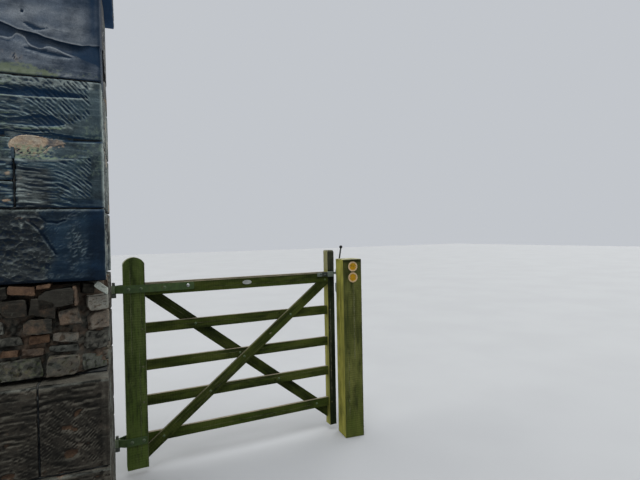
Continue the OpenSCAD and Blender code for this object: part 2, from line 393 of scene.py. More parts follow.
def stone_material(name, dark, mid, light, deep, bright, warm_a, warm_b, green, spots=0.3, tooling=0.3, worn=0.9):
    """Soot-blackened sandstone: dark crust, paler worn ridges, ochre where the crust is gone, green algae. Also painted
    light: painted highlights on ridges and up-facing facets, and painted shade in a blue deep colour in hollows, on
    down-facing facets and in marked recesses and shadows.
    """
    t = Tree(name)
    p = t.coord
    broad = t.noise(p, 2.6, 5.0, 0.6)
    patch = t.noise(p, 13.0, 8.0, 0.66)
    grit = t.noise(p, 170.0, 6.0, 0.72)
    sand = t.noise(p, 640.0, 4.0, 0.75)
    layer = t.noise(t.scaled(p, (6.0, 6.0, 70.0)), 1.0, 7.0, 0.62, 0.5)
    # fine tool marks that fall to the right
    r = t.node("ShaderNodeVectorRotate", rotation_type="Y_AXIS")
    t.put(r.inputs["Vector"], p)
    r.inputs["Angle"].default_value = math.radians(-35)
    tool = t.noise(t.scaled(r.outputs[0], (9.0, 24.0, 90.0)), 1.0, 5.0, 0.65, 0.6)
    up = t.up()
    brown = t.attr("brown")
    grey = 0.5 * (mid[0] + mid[2])
    lightc = t.mix(brown, light, tuple(1.35 * grey + 0.06 * c for c in (1.5, 1.4, 1.1)))
    # the painted shade colour: the blue deep colour, browner where the stone turns brown
    shade_col = t.mix(brown, deep, (0.009, 0.008, 0.006))
    col = t.mix(t.ramp(patch, 0.34, 0.66), dark, mid)
    col = t.mix(t.ramp(broad, 0.46, 0.68, 0.0, 0.6), col, tuple(c * 1.8 for c in mid))
    bcol = t.mix(t.ramp(patch, 0.32, 0.68), (0.016, 0.015, 0.012), tuple(grey * c for c in (1.10, 1.0, 0.82)))
    bcol = t.mix(t.ramp(broad, 0.42, 0.7, 0.0, 0.6), bcol, tuple(grey * c for c in (1.75, 1.5, 1.15)))
    col = t.mix(t.ramp(brown, 0.0, 1.0, 0.0, 0.88), col, bcol)
    col = t.mix(t.ramp(layer, 0.52, 0.72, 0.0, 0.3), col, lightc)
    ridge = t.attr("ridge")
    relief = t.attr("relief")
    # paler worn ridges, plus a painted highlight on ridges and on up-facing facets where light from above falls; none
    # on undersides
    wear = t.math("ADD", t.ramp(ridge, 0.1, 0.9), t.ramp(relief, 0.8, 4.5, 0.0, 0.6), clamp=True)
    wear = t.math("ADD", wear, t.ramp(up, 0.16, 0.62, 0.0, 0.75), clamp=True)
    wear = t.math("MULTIPLY", wear, t.ramp(patch, 0.3, 0.62, 0.3, 1.0))
    wear = t.math("MULTIPLY", wear, t.ramp(up, -0.25, 0.0))
    col = t.mix(t.math("MULTIPLY", wear, worn), col, lightc)
    # painted shade in hollows, with some sooty deposit there, and on down-facing facets
    pit = t.math("ADD", t.ramp(ridge, -0.1, -0.8), t.ramp(relief, -0.8, -5.0, 0.0, 0.7), clamp=True)
    pit = t.math("ADD", pit, t.ramp(up, -0.12, -0.5, 0.0, 0.8), clamp=True)
    col = t.mix(t.math("MULTIPLY", pit, 0.82), col, shade_col)
    warm = t.attr("warm")
    fray = t.math("ADD", warm, t.math("MULTIPLY", t.math("SUBTRACT", patch, 0.5), 1.6))
    wcol = t.mix(t.ramp(t.noise(p, 28.0, 7.0, 0.7), 0.36, 0.66), warm_a, warm_b)
    wcol = t.mix(t.ramp(layer, 0.42, 0.7, 0.0, 0.5), wcol, tuple(c * 0.6 for c in warm_a))
    # the same painted highlight and painted shade in the ochre: lighter on ridges and up-facing facets, darker in
    # hollows and on undersides
    wcol = t.mix(t.math("MULTIPLY", wear, 0.4), wcol, tuple(c * 1.4 for c in warm_a))
    wcol = t.mix(t.math("MULTIPLY", pit, 0.45), wcol, tuple(c * 0.2 for c in warm_a))
    col = t.mix(t.ramp(fray, 0.28, 0.72, 0.0, 0.95), col, wcol)
    # pale patches of stone, and the painted highlights that the relief functions put on lit edges, arrises and lips
    pale = t.attr("pale")
    pale = t.math("MULTIPLY", pale, t.ramp(patch, 0.26, 0.62, 0.35, 1.0))
    col = t.mix(t.math("MULTIPLY", pale, t.ramp(pit, 0.1, 0.9, 1.0, 0.3)), col, bright)
    alg = t.attr("algae")
    speck = t.noise(p, 52.0, 8.0, 0.75)
    gf = t.math("ADD", alg, t.math("MULTIPLY", t.math("SUBTRACT", speck, 0.52), 2.2))
    gcol = t.mix(t.ramp(grit, 0.35, 0.7), green, tuple(c * 1.8 for c in green))
    col = t.mix(t.math("MULTIPLY", t.ramp(gf, 0.2, 0.95, 0.0, 0.65), t.ramp(alg, 0.02, 0.3)), col, gcol)
    if spots:
        sp = t.math("MULTIPLY", t.ramp(t.cells(p, 52.0), 0.2, 0.12), t.ramp(t.noise(p, 5.0, 3.0), 0.56, 0.68))
        col = t.mix(t.math("MULTIPLY", sp, spots), col, (0.24, 0.26, 0.21))
    # painted shade where the relief functions mark dark: recesses, under ledges and broken edges, along cracks and
    # joints, with some darker crust
    col = t.mix(t.math("MULTIPLY", t.attr("dark"), t.ramp(patch, 0.2, 0.7, 1.0, 0.8)), col, shade_col)
    # sooty deposit and painted shade together, in a blue near-black
    col = t.mix(t.math("MULTIPLY", t.attr("soot"), t.ramp(patch, 0.3, 0.7, 0.95, 0.75)), col, (0.003, 0.008, 0.017))
    col = t.mix(t.ramp(grit, 0.3, 0.72, 0.0, 0.4), col, tuple(c * 0.5 for c in dark))
    col = t.mix(t.ramp(tool, 0.54, 0.4, 0.0, tooling), col, tuple(c * 0.4 for c in dark))
    col = t.mix(t.ramp(sand, 0.56, 0.8, 0.0, 0.25), col, lightc)
    h = t.math("ADD", t.math("MULTIPLY", grit, 0.7), t.math("MULTIPLY", sand, 0.3))
    nrm = t.bump(tool, 0.007, tooling * 1.6)
    nrm = t.bump(layer, 0.004, 0.4, nrm)
    nrm = t.bump(h, 0.003, 0.8, nrm)
    return t.done(col, t.ramp(patch, 0.3, 0.7, 0.8, 0.96), nrm, spec=0.1)


def wood_material(name, dark, mid, light, green, pale, wet=0.0, saw=0.0, pitch=0.0165):
    """Old sawn timber: grain along the piece, algae, bleached upper faces and arrises, saw marks across it. The pale
    upper faces and end grain are partly painted highlight, the yellow left faces partly painted light, and the post's
    front and a line under the top rail's bevel partly painted shade.
    """
    t = Tree(name)
    g = t.attr("grain", vector=True)
    streak = t.noise(t.scaled(g, (2.0, 40.0, 40.0)), 1.0, 6.0, 0.66, 0.7)
    fibre = t.noise(t.scaled(g, (8.0, 300.0, 300.0)), 1.0, 5.0, 0.7, 0.3)
    hair = t.noise(t.scaled(g, (26.0, 1500.0, 1500.0)), 1.0, 3.0, 0.7)
    patch = t.noise(t.scaled(g, (3.0, 9.0, 9.0)), 1.0, 6.0, 0.64)
    blot = t.noise(t.scaled(g, (15.0, 30.0, 30.0)), 1.0, 7.0, 0.74)
    col = t.mix(t.ramp(streak, 0.36, 0.64), dark, mid)
    col = t.mix(t.ramp(patch, 0.42, 0.66, 0.0, 0.85), col, light)
    col = t.mix(t.ramp(fibre, 0.5, 0.74, 0.0, 0.6), col, light)
    col = t.mix(t.ramp(fibre, 0.46, 0.28, 0.0, 0.75), col, tuple(c * 0.3 for c in dark))
    col = t.mix(t.ramp(blot, 0.44, 0.3, 0.0, 0.55), col, tuple(c * 0.45 for c in dark))
    alg = t.attr("algae")
    gf = t.math("ADD", alg, t.math("MULTIPLY", t.math("SUBTRACT", blot, 0.5), 1.9))
    gf = t.math("ADD", gf, t.math("MULTIPLY", t.math("SUBTRACT", streak, 0.5), 1.1))
    col = t.mix(t.ramp(gf, 0.1, 0.85, 0.0, 0.75), col, green)
    ridge = t.attr("ridge")
    relief = t.attr("relief")
    wear = t.math("ADD", t.ramp(ridge, 0.05, 0.4), t.ramp(relief, 0.35, 1.4, 0.0, 0.8), clamp=True)
    col = t.mix(t.math("MULTIPLY", wear, t.ramp(blot, 0.32, 0.66, 0.1, 0.7)), col, pale)
    # bleached upper faces and end grain, partly a painted highlight where light from above falls; on the head stile's
    # left face painted light
    bleach = t.attr("bleach")
    top = t.math("MULTIPLY", t.ramp(bleach, 0.1, 0.9), t.ramp(blot, 0.25, 0.6, 0.6, 1.0))
    tcol = t.mix(t.ramp(fibre, 0.35, 0.65), tuple(c * 0.55 for c in pale), tuple(c * 1.3 for c in pale))
    col = t.mix(top, col, tcol)
    crack = t.math("ADD", t.ramp(ridge, -0.06, -0.4), t.ramp(relief, -0.5, -1.6), clamp=True)
    col = t.mix(t.math("MULTIPLY", crack, 0.85), col, tuple(c * 0.15 for c in dark))
    # the yellow of the sawn left faces, partly painted light on the faces lit from the left
    fresh = t.attr("fresh")
    fcol = t.mix(t.ramp(streak, 0.35, 0.65), (0.183, 0.183, 0.032), (0.350, 0.322, 0.070))
    fcol = t.mix(t.ramp(fibre, 0.46, 0.3, 0.0, 0.55), fcol, (0.045, 0.048, 0.008))
    fcol = t.mix(t.ramp(blot, 0.55, 0.72, 0.0, 0.5), fcol, (0.085, 0.115, 0.012))
    col = t.mix(t.math("MULTIPLY", fresh, t.ramp(crack, 0.2, 0.7, 1.0, 0.0)), col, fcol)
    gcol = t.mix(t.ramp(streak, 0.34, 0.66), (0.040, 0.038, 0.028), (0.125, 0.120, 0.092))
    gcol = t.mix(t.ramp(fibre, 0.48, 0.3, 0.0, 0.7), gcol, (0.014, 0.013, 0.009))
    aged = t.math("MULTIPLY", t.attr("aged"), t.ramp(blot, 0.3, 0.62, 0.45, 1.0))
    col = t.mix(t.math("MULTIPLY", aged, t.ramp(crack, 0.2, 0.7, 1.0, 0.2)), col, gcol)
    nrm = None
    if saw:
        s = t.node("ShaderNodeSeparateXYZ")
        t.put(s.inputs[0], g)
        ph = t.math("MULTIPLY", t.math("ADD", s.outputs["X"], t.math("MULTIPLY", s.outputs["Z"], -0.3)), 2 * math.pi / pitch)
        ph = t.math("ADD", ph, t.math("MULTIPLY", t.noise(g, 14.0, 3.0), 7.0))
        wave = t.math("SINE", ph)
        gate = t.ramp(t.noise(t.scaled(g, (9.0, 14.0, 14.0)), 1.0, 4.0, 0.6), 0.38, 0.6)
        line = t.math("MULTIPLY", t.math("MULTIPLY", t.ramp(wave, 0.2, 0.95), gate), t.attr("sawn"))
        col = t.mix(t.math("MULTIPLY", line, saw), col, tuple(c * 0.35 for c in dark))
        nrm = t.bump(wave, 0.0012, 0.35)
    # stains, and painted shade on the post's front and a painted shadow line under the top rail's bevel
    col = t.mix(t.attr("stain"), col, tuple(c * 0.22 for c in dark))
    h = t.math("ADD", t.math("MULTIPLY", fibre, 0.75), t.math("MULTIPLY", hair, 0.25))
    nrm = t.bump(h, 0.0016, 0.85, nrm)
    nrm = t.bump(blot, 0.0014, 0.4, nrm)
    return t.done(col, t.ramp(blot, 0.3, 0.7, 0.9 - wet, 0.74 - wet), nrm, spec=0.08)


def metal_material(name, base, worn, rust, rust_amount, rough, metal, pit=0.0008):
    """Aged steel with paint, zinc or scale, worn arrises and some rust."""
    t = Tree(name)
    p = t.coord
    cloud = t.noise(p, 26.0, 6.0, 0.65)
    fine = t.noise(p, 240.0, 5.0, 0.7)
    streak = t.noise(t.scaled(p, (60.0, 60.0, 9.0)), 1.0, 5.0, 0.65)
    col = t.mix(t.ramp(cloud, 0.35, 0.68), base, tuple(c * 1.6 for c in base))
    wear = t.ramp(t.attr("ridge"), 0.03, 0.25)
    col = t.mix(t.math("MULTIPLY", wear, t.ramp(fine, 0.3, 0.6, 0.2, 0.9)), col, worn)
    rf = t.math("MULTIPLY", t.ramp(t.math("ADD", t.math("MULTIPLY", cloud, 0.6), t.math("MULTIPLY", streak, 0.4)), 0.53, 0.64), rust_amount)
    col = t.mix(rf, col, t.mix(t.ramp(fine, 0.4, 0.65), rust, tuple(c * 0.5 for c in rust)))
    col = t.mix(t.ramp(fine, 0.55, 0.8, 0.0, 0.35), col, tuple(c * 0.4 for c in base))
    nrm = t.bump(t.math("ADD", t.math("MULTIPLY", fine, 0.6), t.math("MULTIPLY", cloud, 0.4)), pit, 0.7)
    return t.done(col, t.ramp(cloud, 0.3, 0.7, rough - 0.08, rough + 0.14), nrm, metal=metal, spec=0.25)


# the fourth colour of each stone is the deep colour: blue in SOOTY, CRAG and CAPPED, a painted blue shade for hollows,
# undersides and recesses
SOOTY = stone_material(
    "sooty_sandstone", (0.008, 0.015, 0.021), (0.031, 0.053, 0.066), (0.205, 0.275, 0.285), (0.006, 0.031, 0.078), (0.325, 0.375, 0.355),
    (0.50, 0.390, 0.270), (0.34, 0.225, 0.150), (0.180, 0.235, 0.145), 0.35, 0.10)
CRAG = stone_material(
    "weathered_sandstone", (0.024, 0.036, 0.055), (0.085, 0.106, 0.135), (0.235, 0.268, 0.295), (0.008, 0.027, 0.060), (0.290, 0.315, 0.335),
    (0.30, 0.215, 0.115), (0.17, 0.110, 0.060), (0.150, 0.180, 0.090), 0.15, 0.04)
BROWN = stone_material(
    "brown_sandstone", (0.012, 0.011, 0.009), (0.037, 0.032, 0.025), (0.140, 0.132, 0.105), (0.005, 0.005, 0.004), (0.390, 0.420, 0.370),
    (0.150, 0.088, 0.052), (0.080, 0.047, 0.032), (0.070, 0.090, 0.032), 0.2, 0.12, 0.6)
CAPPED = stone_material(
    "capstone", (0.014, 0.022, 0.031), (0.040, 0.056, 0.075), (0.145, 0.170, 0.180), (0.022, 0.066, 0.150), (0.230, 0.250, 0.240),
    (0.22, 0.15, 0.062), (0.11, 0.078, 0.038), (0.080, 0.100, 0.034), 0.4, 0.08, 0.7)
MORTAR = stone_material(
    "lime_mortar", (0.005, 0.007, 0.009), (0.016, 0.019, 0.020), (0.075, 0.075, 0.068), (0.003, 0.004, 0.005), (0.12, 0.11, 0.09),
    (0.10, 0.075, 0.05), (0.07, 0.05, 0.035), (0.03, 0.04, 0.015), 0.0, 0.0)

HEEL = wood_material(
    "heel_timber_green", (0.018, 0.027, 0.008), (0.048, 0.070, 0.017), (0.088, 0.114, 0.034),
    (0.072, 0.106, 0.020), (0.20, 0.200, 0.120), saw=0.3)
HEAD = wood_material(
    "head_timber_dark", (0.004, 0.006, 0.003), (0.011, 0.015, 0.007), (0.026, 0.031, 0.015),
    (0.018, 0.030, 0.008), (0.17, 0.165, 0.12), saw=0.2)
RAIL = wood_material(
    "rail_timber_brown", (0.010, 0.015, 0.003), (0.029, 0.039, 0.007), (0.058, 0.069, 0.014),
    (0.037, 0.055, 0.007), (0.21, 0.180, 0.125), saw=0.3)
DIM_RAIL = wood_material(
    "rear_brace_timber_dark", (0.006, 0.010, 0.002), (0.018, 0.024, 0.004), (0.036, 0.044, 0.009),
    (0.024, 0.042, 0.003), (0.14, 0.125, 0.08), saw=0.2)
POST = wood_material(
    "post_timber_olive", (0.036, 0.044, 0.012), (0.098, 0.108, 0.026), (0.190, 0.195, 0.052),
    (0.094, 0.122, 0.020), (0.36, 0.345, 0.22), saw=1.0)
IRON = metal_material("aged_hinge_iron", (0.034, 0.058, 0.018), (0.15, 0.18, 0.12), (0.075, 0.030, 0.012), 0.35, 0.6, 0.15)
HOOK = metal_material("dark_hook_iron", (0.010, 0.014, 0.010), (0.08, 0.09, 0.075), (0.085, 0.036, 0.015), 0.6, 0.65, 0.1)
BLACK = metal_material("black_worn_steel", (0.016, 0.022, 0.018), (0.16, 0.19, 0.16), (0.07, 0.032, 0.016), 0.3, 0.55, 0.15)
ROD = metal_material("black_painted_rod", (0.006, 0.008, 0.008), (0.05, 0.055, 0.05), (0.05, 0.025, 0.014), 0.15, 0.6, 0.0)
ZINC = metal_material("dull_galvanised_steel", (0.28, 0.32, 0.335), (0.45, 0.5, 0.5), (0.16, 0.10, 0.06), 0.15, 0.5, 0.1)
BRIGHT = metal_material("bolt_zinc", (0.16, 0.17, 0.165), (0.5, 0.52, 0.5), (0.12, 0.06, 0.03), 0.3, 0.38, 0.8)
PLATE = metal_material("dull_alloy_plate", (0.27, 0.28, 0.26), (0.5, 0.5, 0.48), (0.10, 0.10, 0.06), 0.25, 0.45, 0.55)


def knob_material():
    t = Tree("black_ball_plastic")
    fine = t.noise(t.coord, 300.0, 4.0, 0.6)
    col = t.mix(t.ramp(fine, 0.4, 0.7), (0.003, 0.0035, 0.0035), (0.009, 0.010, 0.010))
    return t.done(col, t.ramp(fine, 0.3, 0.7, 0.5, 0.65), t.bump(fine, 0.0003, 0.4), spec=0.2)


def disc_material(name, a, b, dirt):
    t = Tree(name)
    p = t.coord
    cloud = t.noise(p, 60.0, 6.0, 0.65)
    fine = t.noise(p, 420.0, 5.0, 0.7)
    col = t.mix(t.ramp(cloud, 0.35, 0.65), a, b)
    col = t.mix(t.ramp(t.noise(p, 120.0, 7.0, 0.75), 0.52, 0.72, 0.0, 0.75), col, dirt)
    col = t.mix(t.ramp(fine, 0.6, 0.8, 0.0, 0.5), col, dirt)
    return t.done(col, t.ramp(cloud, 0.3, 0.7, 0.42, 0.62), t.bump(fine, 0.0003, 0.5), spec=0.12)


KNOB = knob_material()
DISC_RING = disc_material("disc_rim_cream", (0.52, 0.36, 0.21), (0.38, 0.27, 0.14), (0.13, 0.10, 0.04))
DISC_FIELD = disc_material("disc_field_amber", (0.43, 0.215, 0.004), (0.25, 0.145, 0.005), (0.07, 0.055, 0.006))

# ---------------------------------------------------------------- pier
HALF = 360.0
BED = [0, 450, 880, 1340, 1685, 2005, 2283, 2850]


def around(P, half):
    """Length along the pier's outline for each of its four sides, from the front left arris round by the right."""
    return {
        "-y": P[:, 0] + half,
        "+x": 2 * half + P[:, 1] + half,
        "+y": 4 * half + half - P[:, 0],
        "-x": 6 * half + half - P[:, 1],
    }


def block(lo, hi, relief, seed, half=HALF, step=(9.0, 9.0, 6.5), r=9.0, rvar=0.6, joint=3.5, zrows=None,
          xfine=None, pull=110.0, bed=3.0, rim=3, shape=None, roughen=1.0):
    """One dressed stone. relief(p, z) gives its depth in mm on an outer side, a lift along Z, and a dict of values
    for the material."""
    lo, hi = list(map(float, lo)), list(map(float, hi))
    outer = {"-y": lo[1] <= -half + 1, "+y": hi[1] >= half - 1, "-x": lo[0] <= -half + 1, "+x": hi[0] >= half - 1}
    if not outer["-x"]:
        lo[0] += joint
    if not outer["+x"]:
        hi[0] -= joint
    if not outer["-y"]:
        lo[1] += joint
    if not outer["+y"]:
        hi[1] -= joint
    lo[2] += bed
    hi[2] -= bed
    k = SCALE
    xs = ticks(lo[0], hi[0], step[0] * k, r, () if xfine is None else (xfine[0], xfine[1], xfine[2] * k))
    ys = ticks(lo[1], hi[1], step[1] * k, r)
    zs = ticks(lo[2], hi[2], step[2] * k, r) if zrows is None else zrows
    hidden = [(2, 0), (2, 1)] + [("xy".index(side[1]), "-+".index(side[0])) for side, on in outer.items() if not on]
    ijk, quads, rings = lattice((len(xs), len(ys), len(zs)), rim, hidden)
    P = np.stack([xs[ijk[:, 0]], ys[ijk[:, 1]], zs[ijk[:, 2]]], 1)
    base = P.copy()
    if shape is not None:
        P = shape(P)
    rr = r * (1 - 0.5 * rvar + rvar * fbm(base / 85.0, 3, seed + 5)) + 3.0 * np.maximum(0, noise(base / 33.0, seed + 9) - 0.35) * r / 4
    Q, inward = rounded(P, lo, hi, np.maximum(rr, 1.5))
    out = {key: np.zeros(len(P)) for key in ("warm", "algae", "pale", "dark", "brown", "soot")}
    near = np.full(len(P), 1e9)
    ps = around(base, half)
    for side, on in outer.items():
        axis = 0 if side[1] == "x" else 1
        low = side[0] == "-"
        dist = base[:, axis] - lo[axis] if low else hi[axis] - base[:, axis]
        if on:
            d, lift, vals = relief(ps[side], P[:, 2])
            w = sm(1 - dist / pull)
            Q[:, axis] += (1 if low else -1) * d * w
            Q[:, 2] += lift * w
            take = dist < near
            near = np.where(take, dist, near)
            for key, val in vals.items():
                out[key] = np.where(take, val, out[key])
    if roughen:
        d3 = roughen * (0.9 * fbm(base / 24.0, 4, seed + 21) + 0.6)
        Q += inward * d3[:, None]
    return Part(Q, quads, rings, out)


def cells(p, z, sx, sz, seed):
    """The nine jittered cells round each point: offsets from their middles in mm, and two random numbers each."""
    out = []
    with np.errstate(over="ignore"):
        i0, j0 = np.floor(p / sx), np.floor(z / sz)
        third = np.full(len(p), 7, np.uint32)
        for di in (-1, 0, 1):
            for dj in (-1, 0, 1):
                i, j = (i0 + di).astype(np.int64).astype(np.uint32), (j0 + dj).astype(np.int64).astype(np.uint32)
                h, g = _hash(i, j, third, seed), _hash(i, j, third, seed + 1)
                a, b = (h & np.uint32(1023)) / 1023.0, ((h >> np.uint32(10)) & np.uint32(1023)) / 1023.0
                c, e = (g & np.uint32(1023)) / 1023.0, ((g >> np.uint32(10)) & np.uint32(1023)) / 1023.0
                out.append((p - (i0 + di + 0.15 + 0.7 * a) * sx, z - (j0 + dj + 0.15 + 0.7 * b) * sz, c, e))
    return out


def flakes(p, z, sx, sz, seed, lean=0.4):
    """Rock-faced stone: scallops of random depth and fall that meet in sharp crests, 0 at the crests to about 1."""
    p = p + 0.28 * sx * n2(p, z, 1.6 * sx, 1.6 * sz, seed + 5, 2)
    z = z + 0.3 * sz * n2(p, z, 1.6 * sx, 1.6 * sz, seed + 6, 2)
    d = np.zeros(len(p))
    for u, v, a, b in cells(p, z, sx, sz, seed):
        u, v, t = u / sx, v / sz, 2 * np.pi * a
        d = np.maximum(d, (0.4 + 0.7 * b) * (1 - 0.85 * (u * u + v * v)) + lean * (np.cos(t) * u + np.sin(t) * v))
    return d


def pecks(p, z, sx, sz, lean, seed):
    """Short chisel pecks: 1 in their middles, 0 outside."""
    d = np.zeros(len(p))
    for u, v, a, b in cells(p, z, sx, sz, seed):
        t = lean + 1.1 * (a - 0.5)
        c, s = np.cos(t), np.sin(t)
        m = ((u * c + v * s) / (0.60 * sx)) ** 2 + ((v * c - u * s) / (0.24 * sz)) ** 2
        d = np.maximum(d, np.where(b > 0.2, 0.3 + 0.7 * b, 0) * np.clip(1 - m, 0, 1))
    return d


def chance(a, b, seed):
    """A random number from 0 to 1 for each pair of whole numbers."""
    with np.errstate(over="ignore"):
        h = _hash(a.astype(np.int64).astype(np.uint32), b.astype(np.int64).astype(np.uint32), np.full(len(a), 3, np.uint32), seed)
    return (h & np.uint32(4095)) / 4095.0


def strokes(p, z, knots, pitch, seed, warp=7.0, run=80.0):
    """Chisel strokes whose fall changes along the face: short gouges with a narrow lit lip under each, 0 between them
    to 1 at their bottoms. Gives a painted highlight along each lip as well."""
    x = (p % 720) - 360
    xs = np.linspace(-380, 380, 153)
    fall = np.interp(xs, knots[0], knots[1])
    mean = (fall[1:] + fall[:-1]) / 2
    g = np.concatenate([[0], np.cumsum(mean * 5.0)])
    arc = np.concatenate([[0], np.cumsum(np.sqrt(1 + mean**2) * 5.0)])
    phi = z + np.interp(x, xs, g)
    phi = phi + warp * n2(x, z, 95, 70, seed, 3) + 0.5 * warp * n2(x, z, 30, 22, seed + 1, 2)
    f = phi / pitch + 0.5 * n2(x, phi, 400, 60, seed + 2, 2)
    row = np.floor(f)
    f = f - row
    t = np.interp(x, xs, arc) / run + 2.3 * chance(row, row * 0, seed + 3) + 0.15 * n2(x, z, 30, 30, seed + 5, 2)
    part = np.floor(t)
    t = t - part
    amp, c = chance(row, part, seed + 6), 0.26 + 0.14 * chance(row, part, seed + 7)
    ends = sm(t / 0.2) * sm((1 - t) / 0.35)
    gouge = np.where(f < c, f / c, (1 - f) / (1 - c)) ** 1.15
    amp = (0.3 + 0.7 * amp) * (0.2 + 0.8 * ends) * sm(0.9 + 1.5 * n2(x, z, 46, 36, seed + 4, 2))
    return gouge * amp, bump(f - 0.55 * c, 0.13) * amp


def fissures(p, z, pitch, seed, tilt=0.05, warp=0.9):
    """Weathered bedding: wavy, nearly level hollows of uneven depth, each with a narrow lip under it."""
    t = (z + tilt * p) / pitch + warp * n2(p, z, 170, 60, seed, 3) + 0.3 * n2(p, z, 45, 22, seed + 1, 2)
    f = t - np.floor(t)
    amp = sm(0.45 + 1.7 * n2(p, t * pitch, 130, pitch * 1.1, seed + 2, 3))
    return np.where(f < 0.32, f / 0.32, (1 - f) / 0.68) ** 1.2 * amp


def zero(p):
    return np.zeros(len(p))


# ledges of the top course round the pier: height against length along the outline
L1P = [0, 110, 210, 319, 348, 382, 459, 490, 549, 598, 643, 673, 720, 790, 900, 990, 1080, 1180, 1290, 1380, 1440, 1530, 1660, 1780, 1900, 2010, 2100, 2160, 2260, 2390, 2500, 2620, 2740, 2820, 2880]
L1Z = [2572, 2580, 2536, 2508, 2498, 2484, 2474, 2463, 2452, 2446, 2443, 2448, 2444, 2455, 2492, 2530, 2548, 2520, 2470, 2455, 2462, 2490, 2515, 2560, 2590, 2560, 2520, 2500, 2470, 2455, 2480, 2530, 2565, 2575, 2572]
L2P = [0, 140, 240, 320, 344, 360, 370, 378, 394, 409, 417, 431, 462, 476, 490, 506, 530, 560, 588, 615, 641, 683, 720, 800, 900, 980, 1080, 1180, 1290, 1380, 1440, 1530, 1660, 1780, 1900, 2010, 2100, 2160, 2260, 2390, 2500, 2620, 2740, 2880]
L2Z = [2462, 2470, 2440, 2448, 2446, 2452, 2467, 2471, 2466, 2456, 2439, 2424, 2412, 2415, 2424, 2427, 2421, 2407, 2397, 2390, 2376, 2362, 2354, 2350, 2375, 2400, 2420, 2395, 2372, 2365, 2362, 2380, 2400, 2432, 2450, 2430, 2405, 2392, 2370, 2362, 2380, 2410, 2445, 2462]


def ledges(p):
    """Heights of the top course's upper and lower ledge round the pier."""
    away = 1 - sm((740 - p) / 60) * sm(p / 60)
    l1 = np.interp(p, L1P, L1Z) + away * (34 * n2(p, p * 0, 150, 40, 19, 3) + 10) + (1.2 + 4 * away) * n2(p, p * 0, 26, 40, 29, 2)
    l2 = np.interp(p, L2P, L2Z) + away * 20 * n2(p, p * 0, 110, 40, 18, 3)
    return l1, np.minimum(l2, l1 - 12)


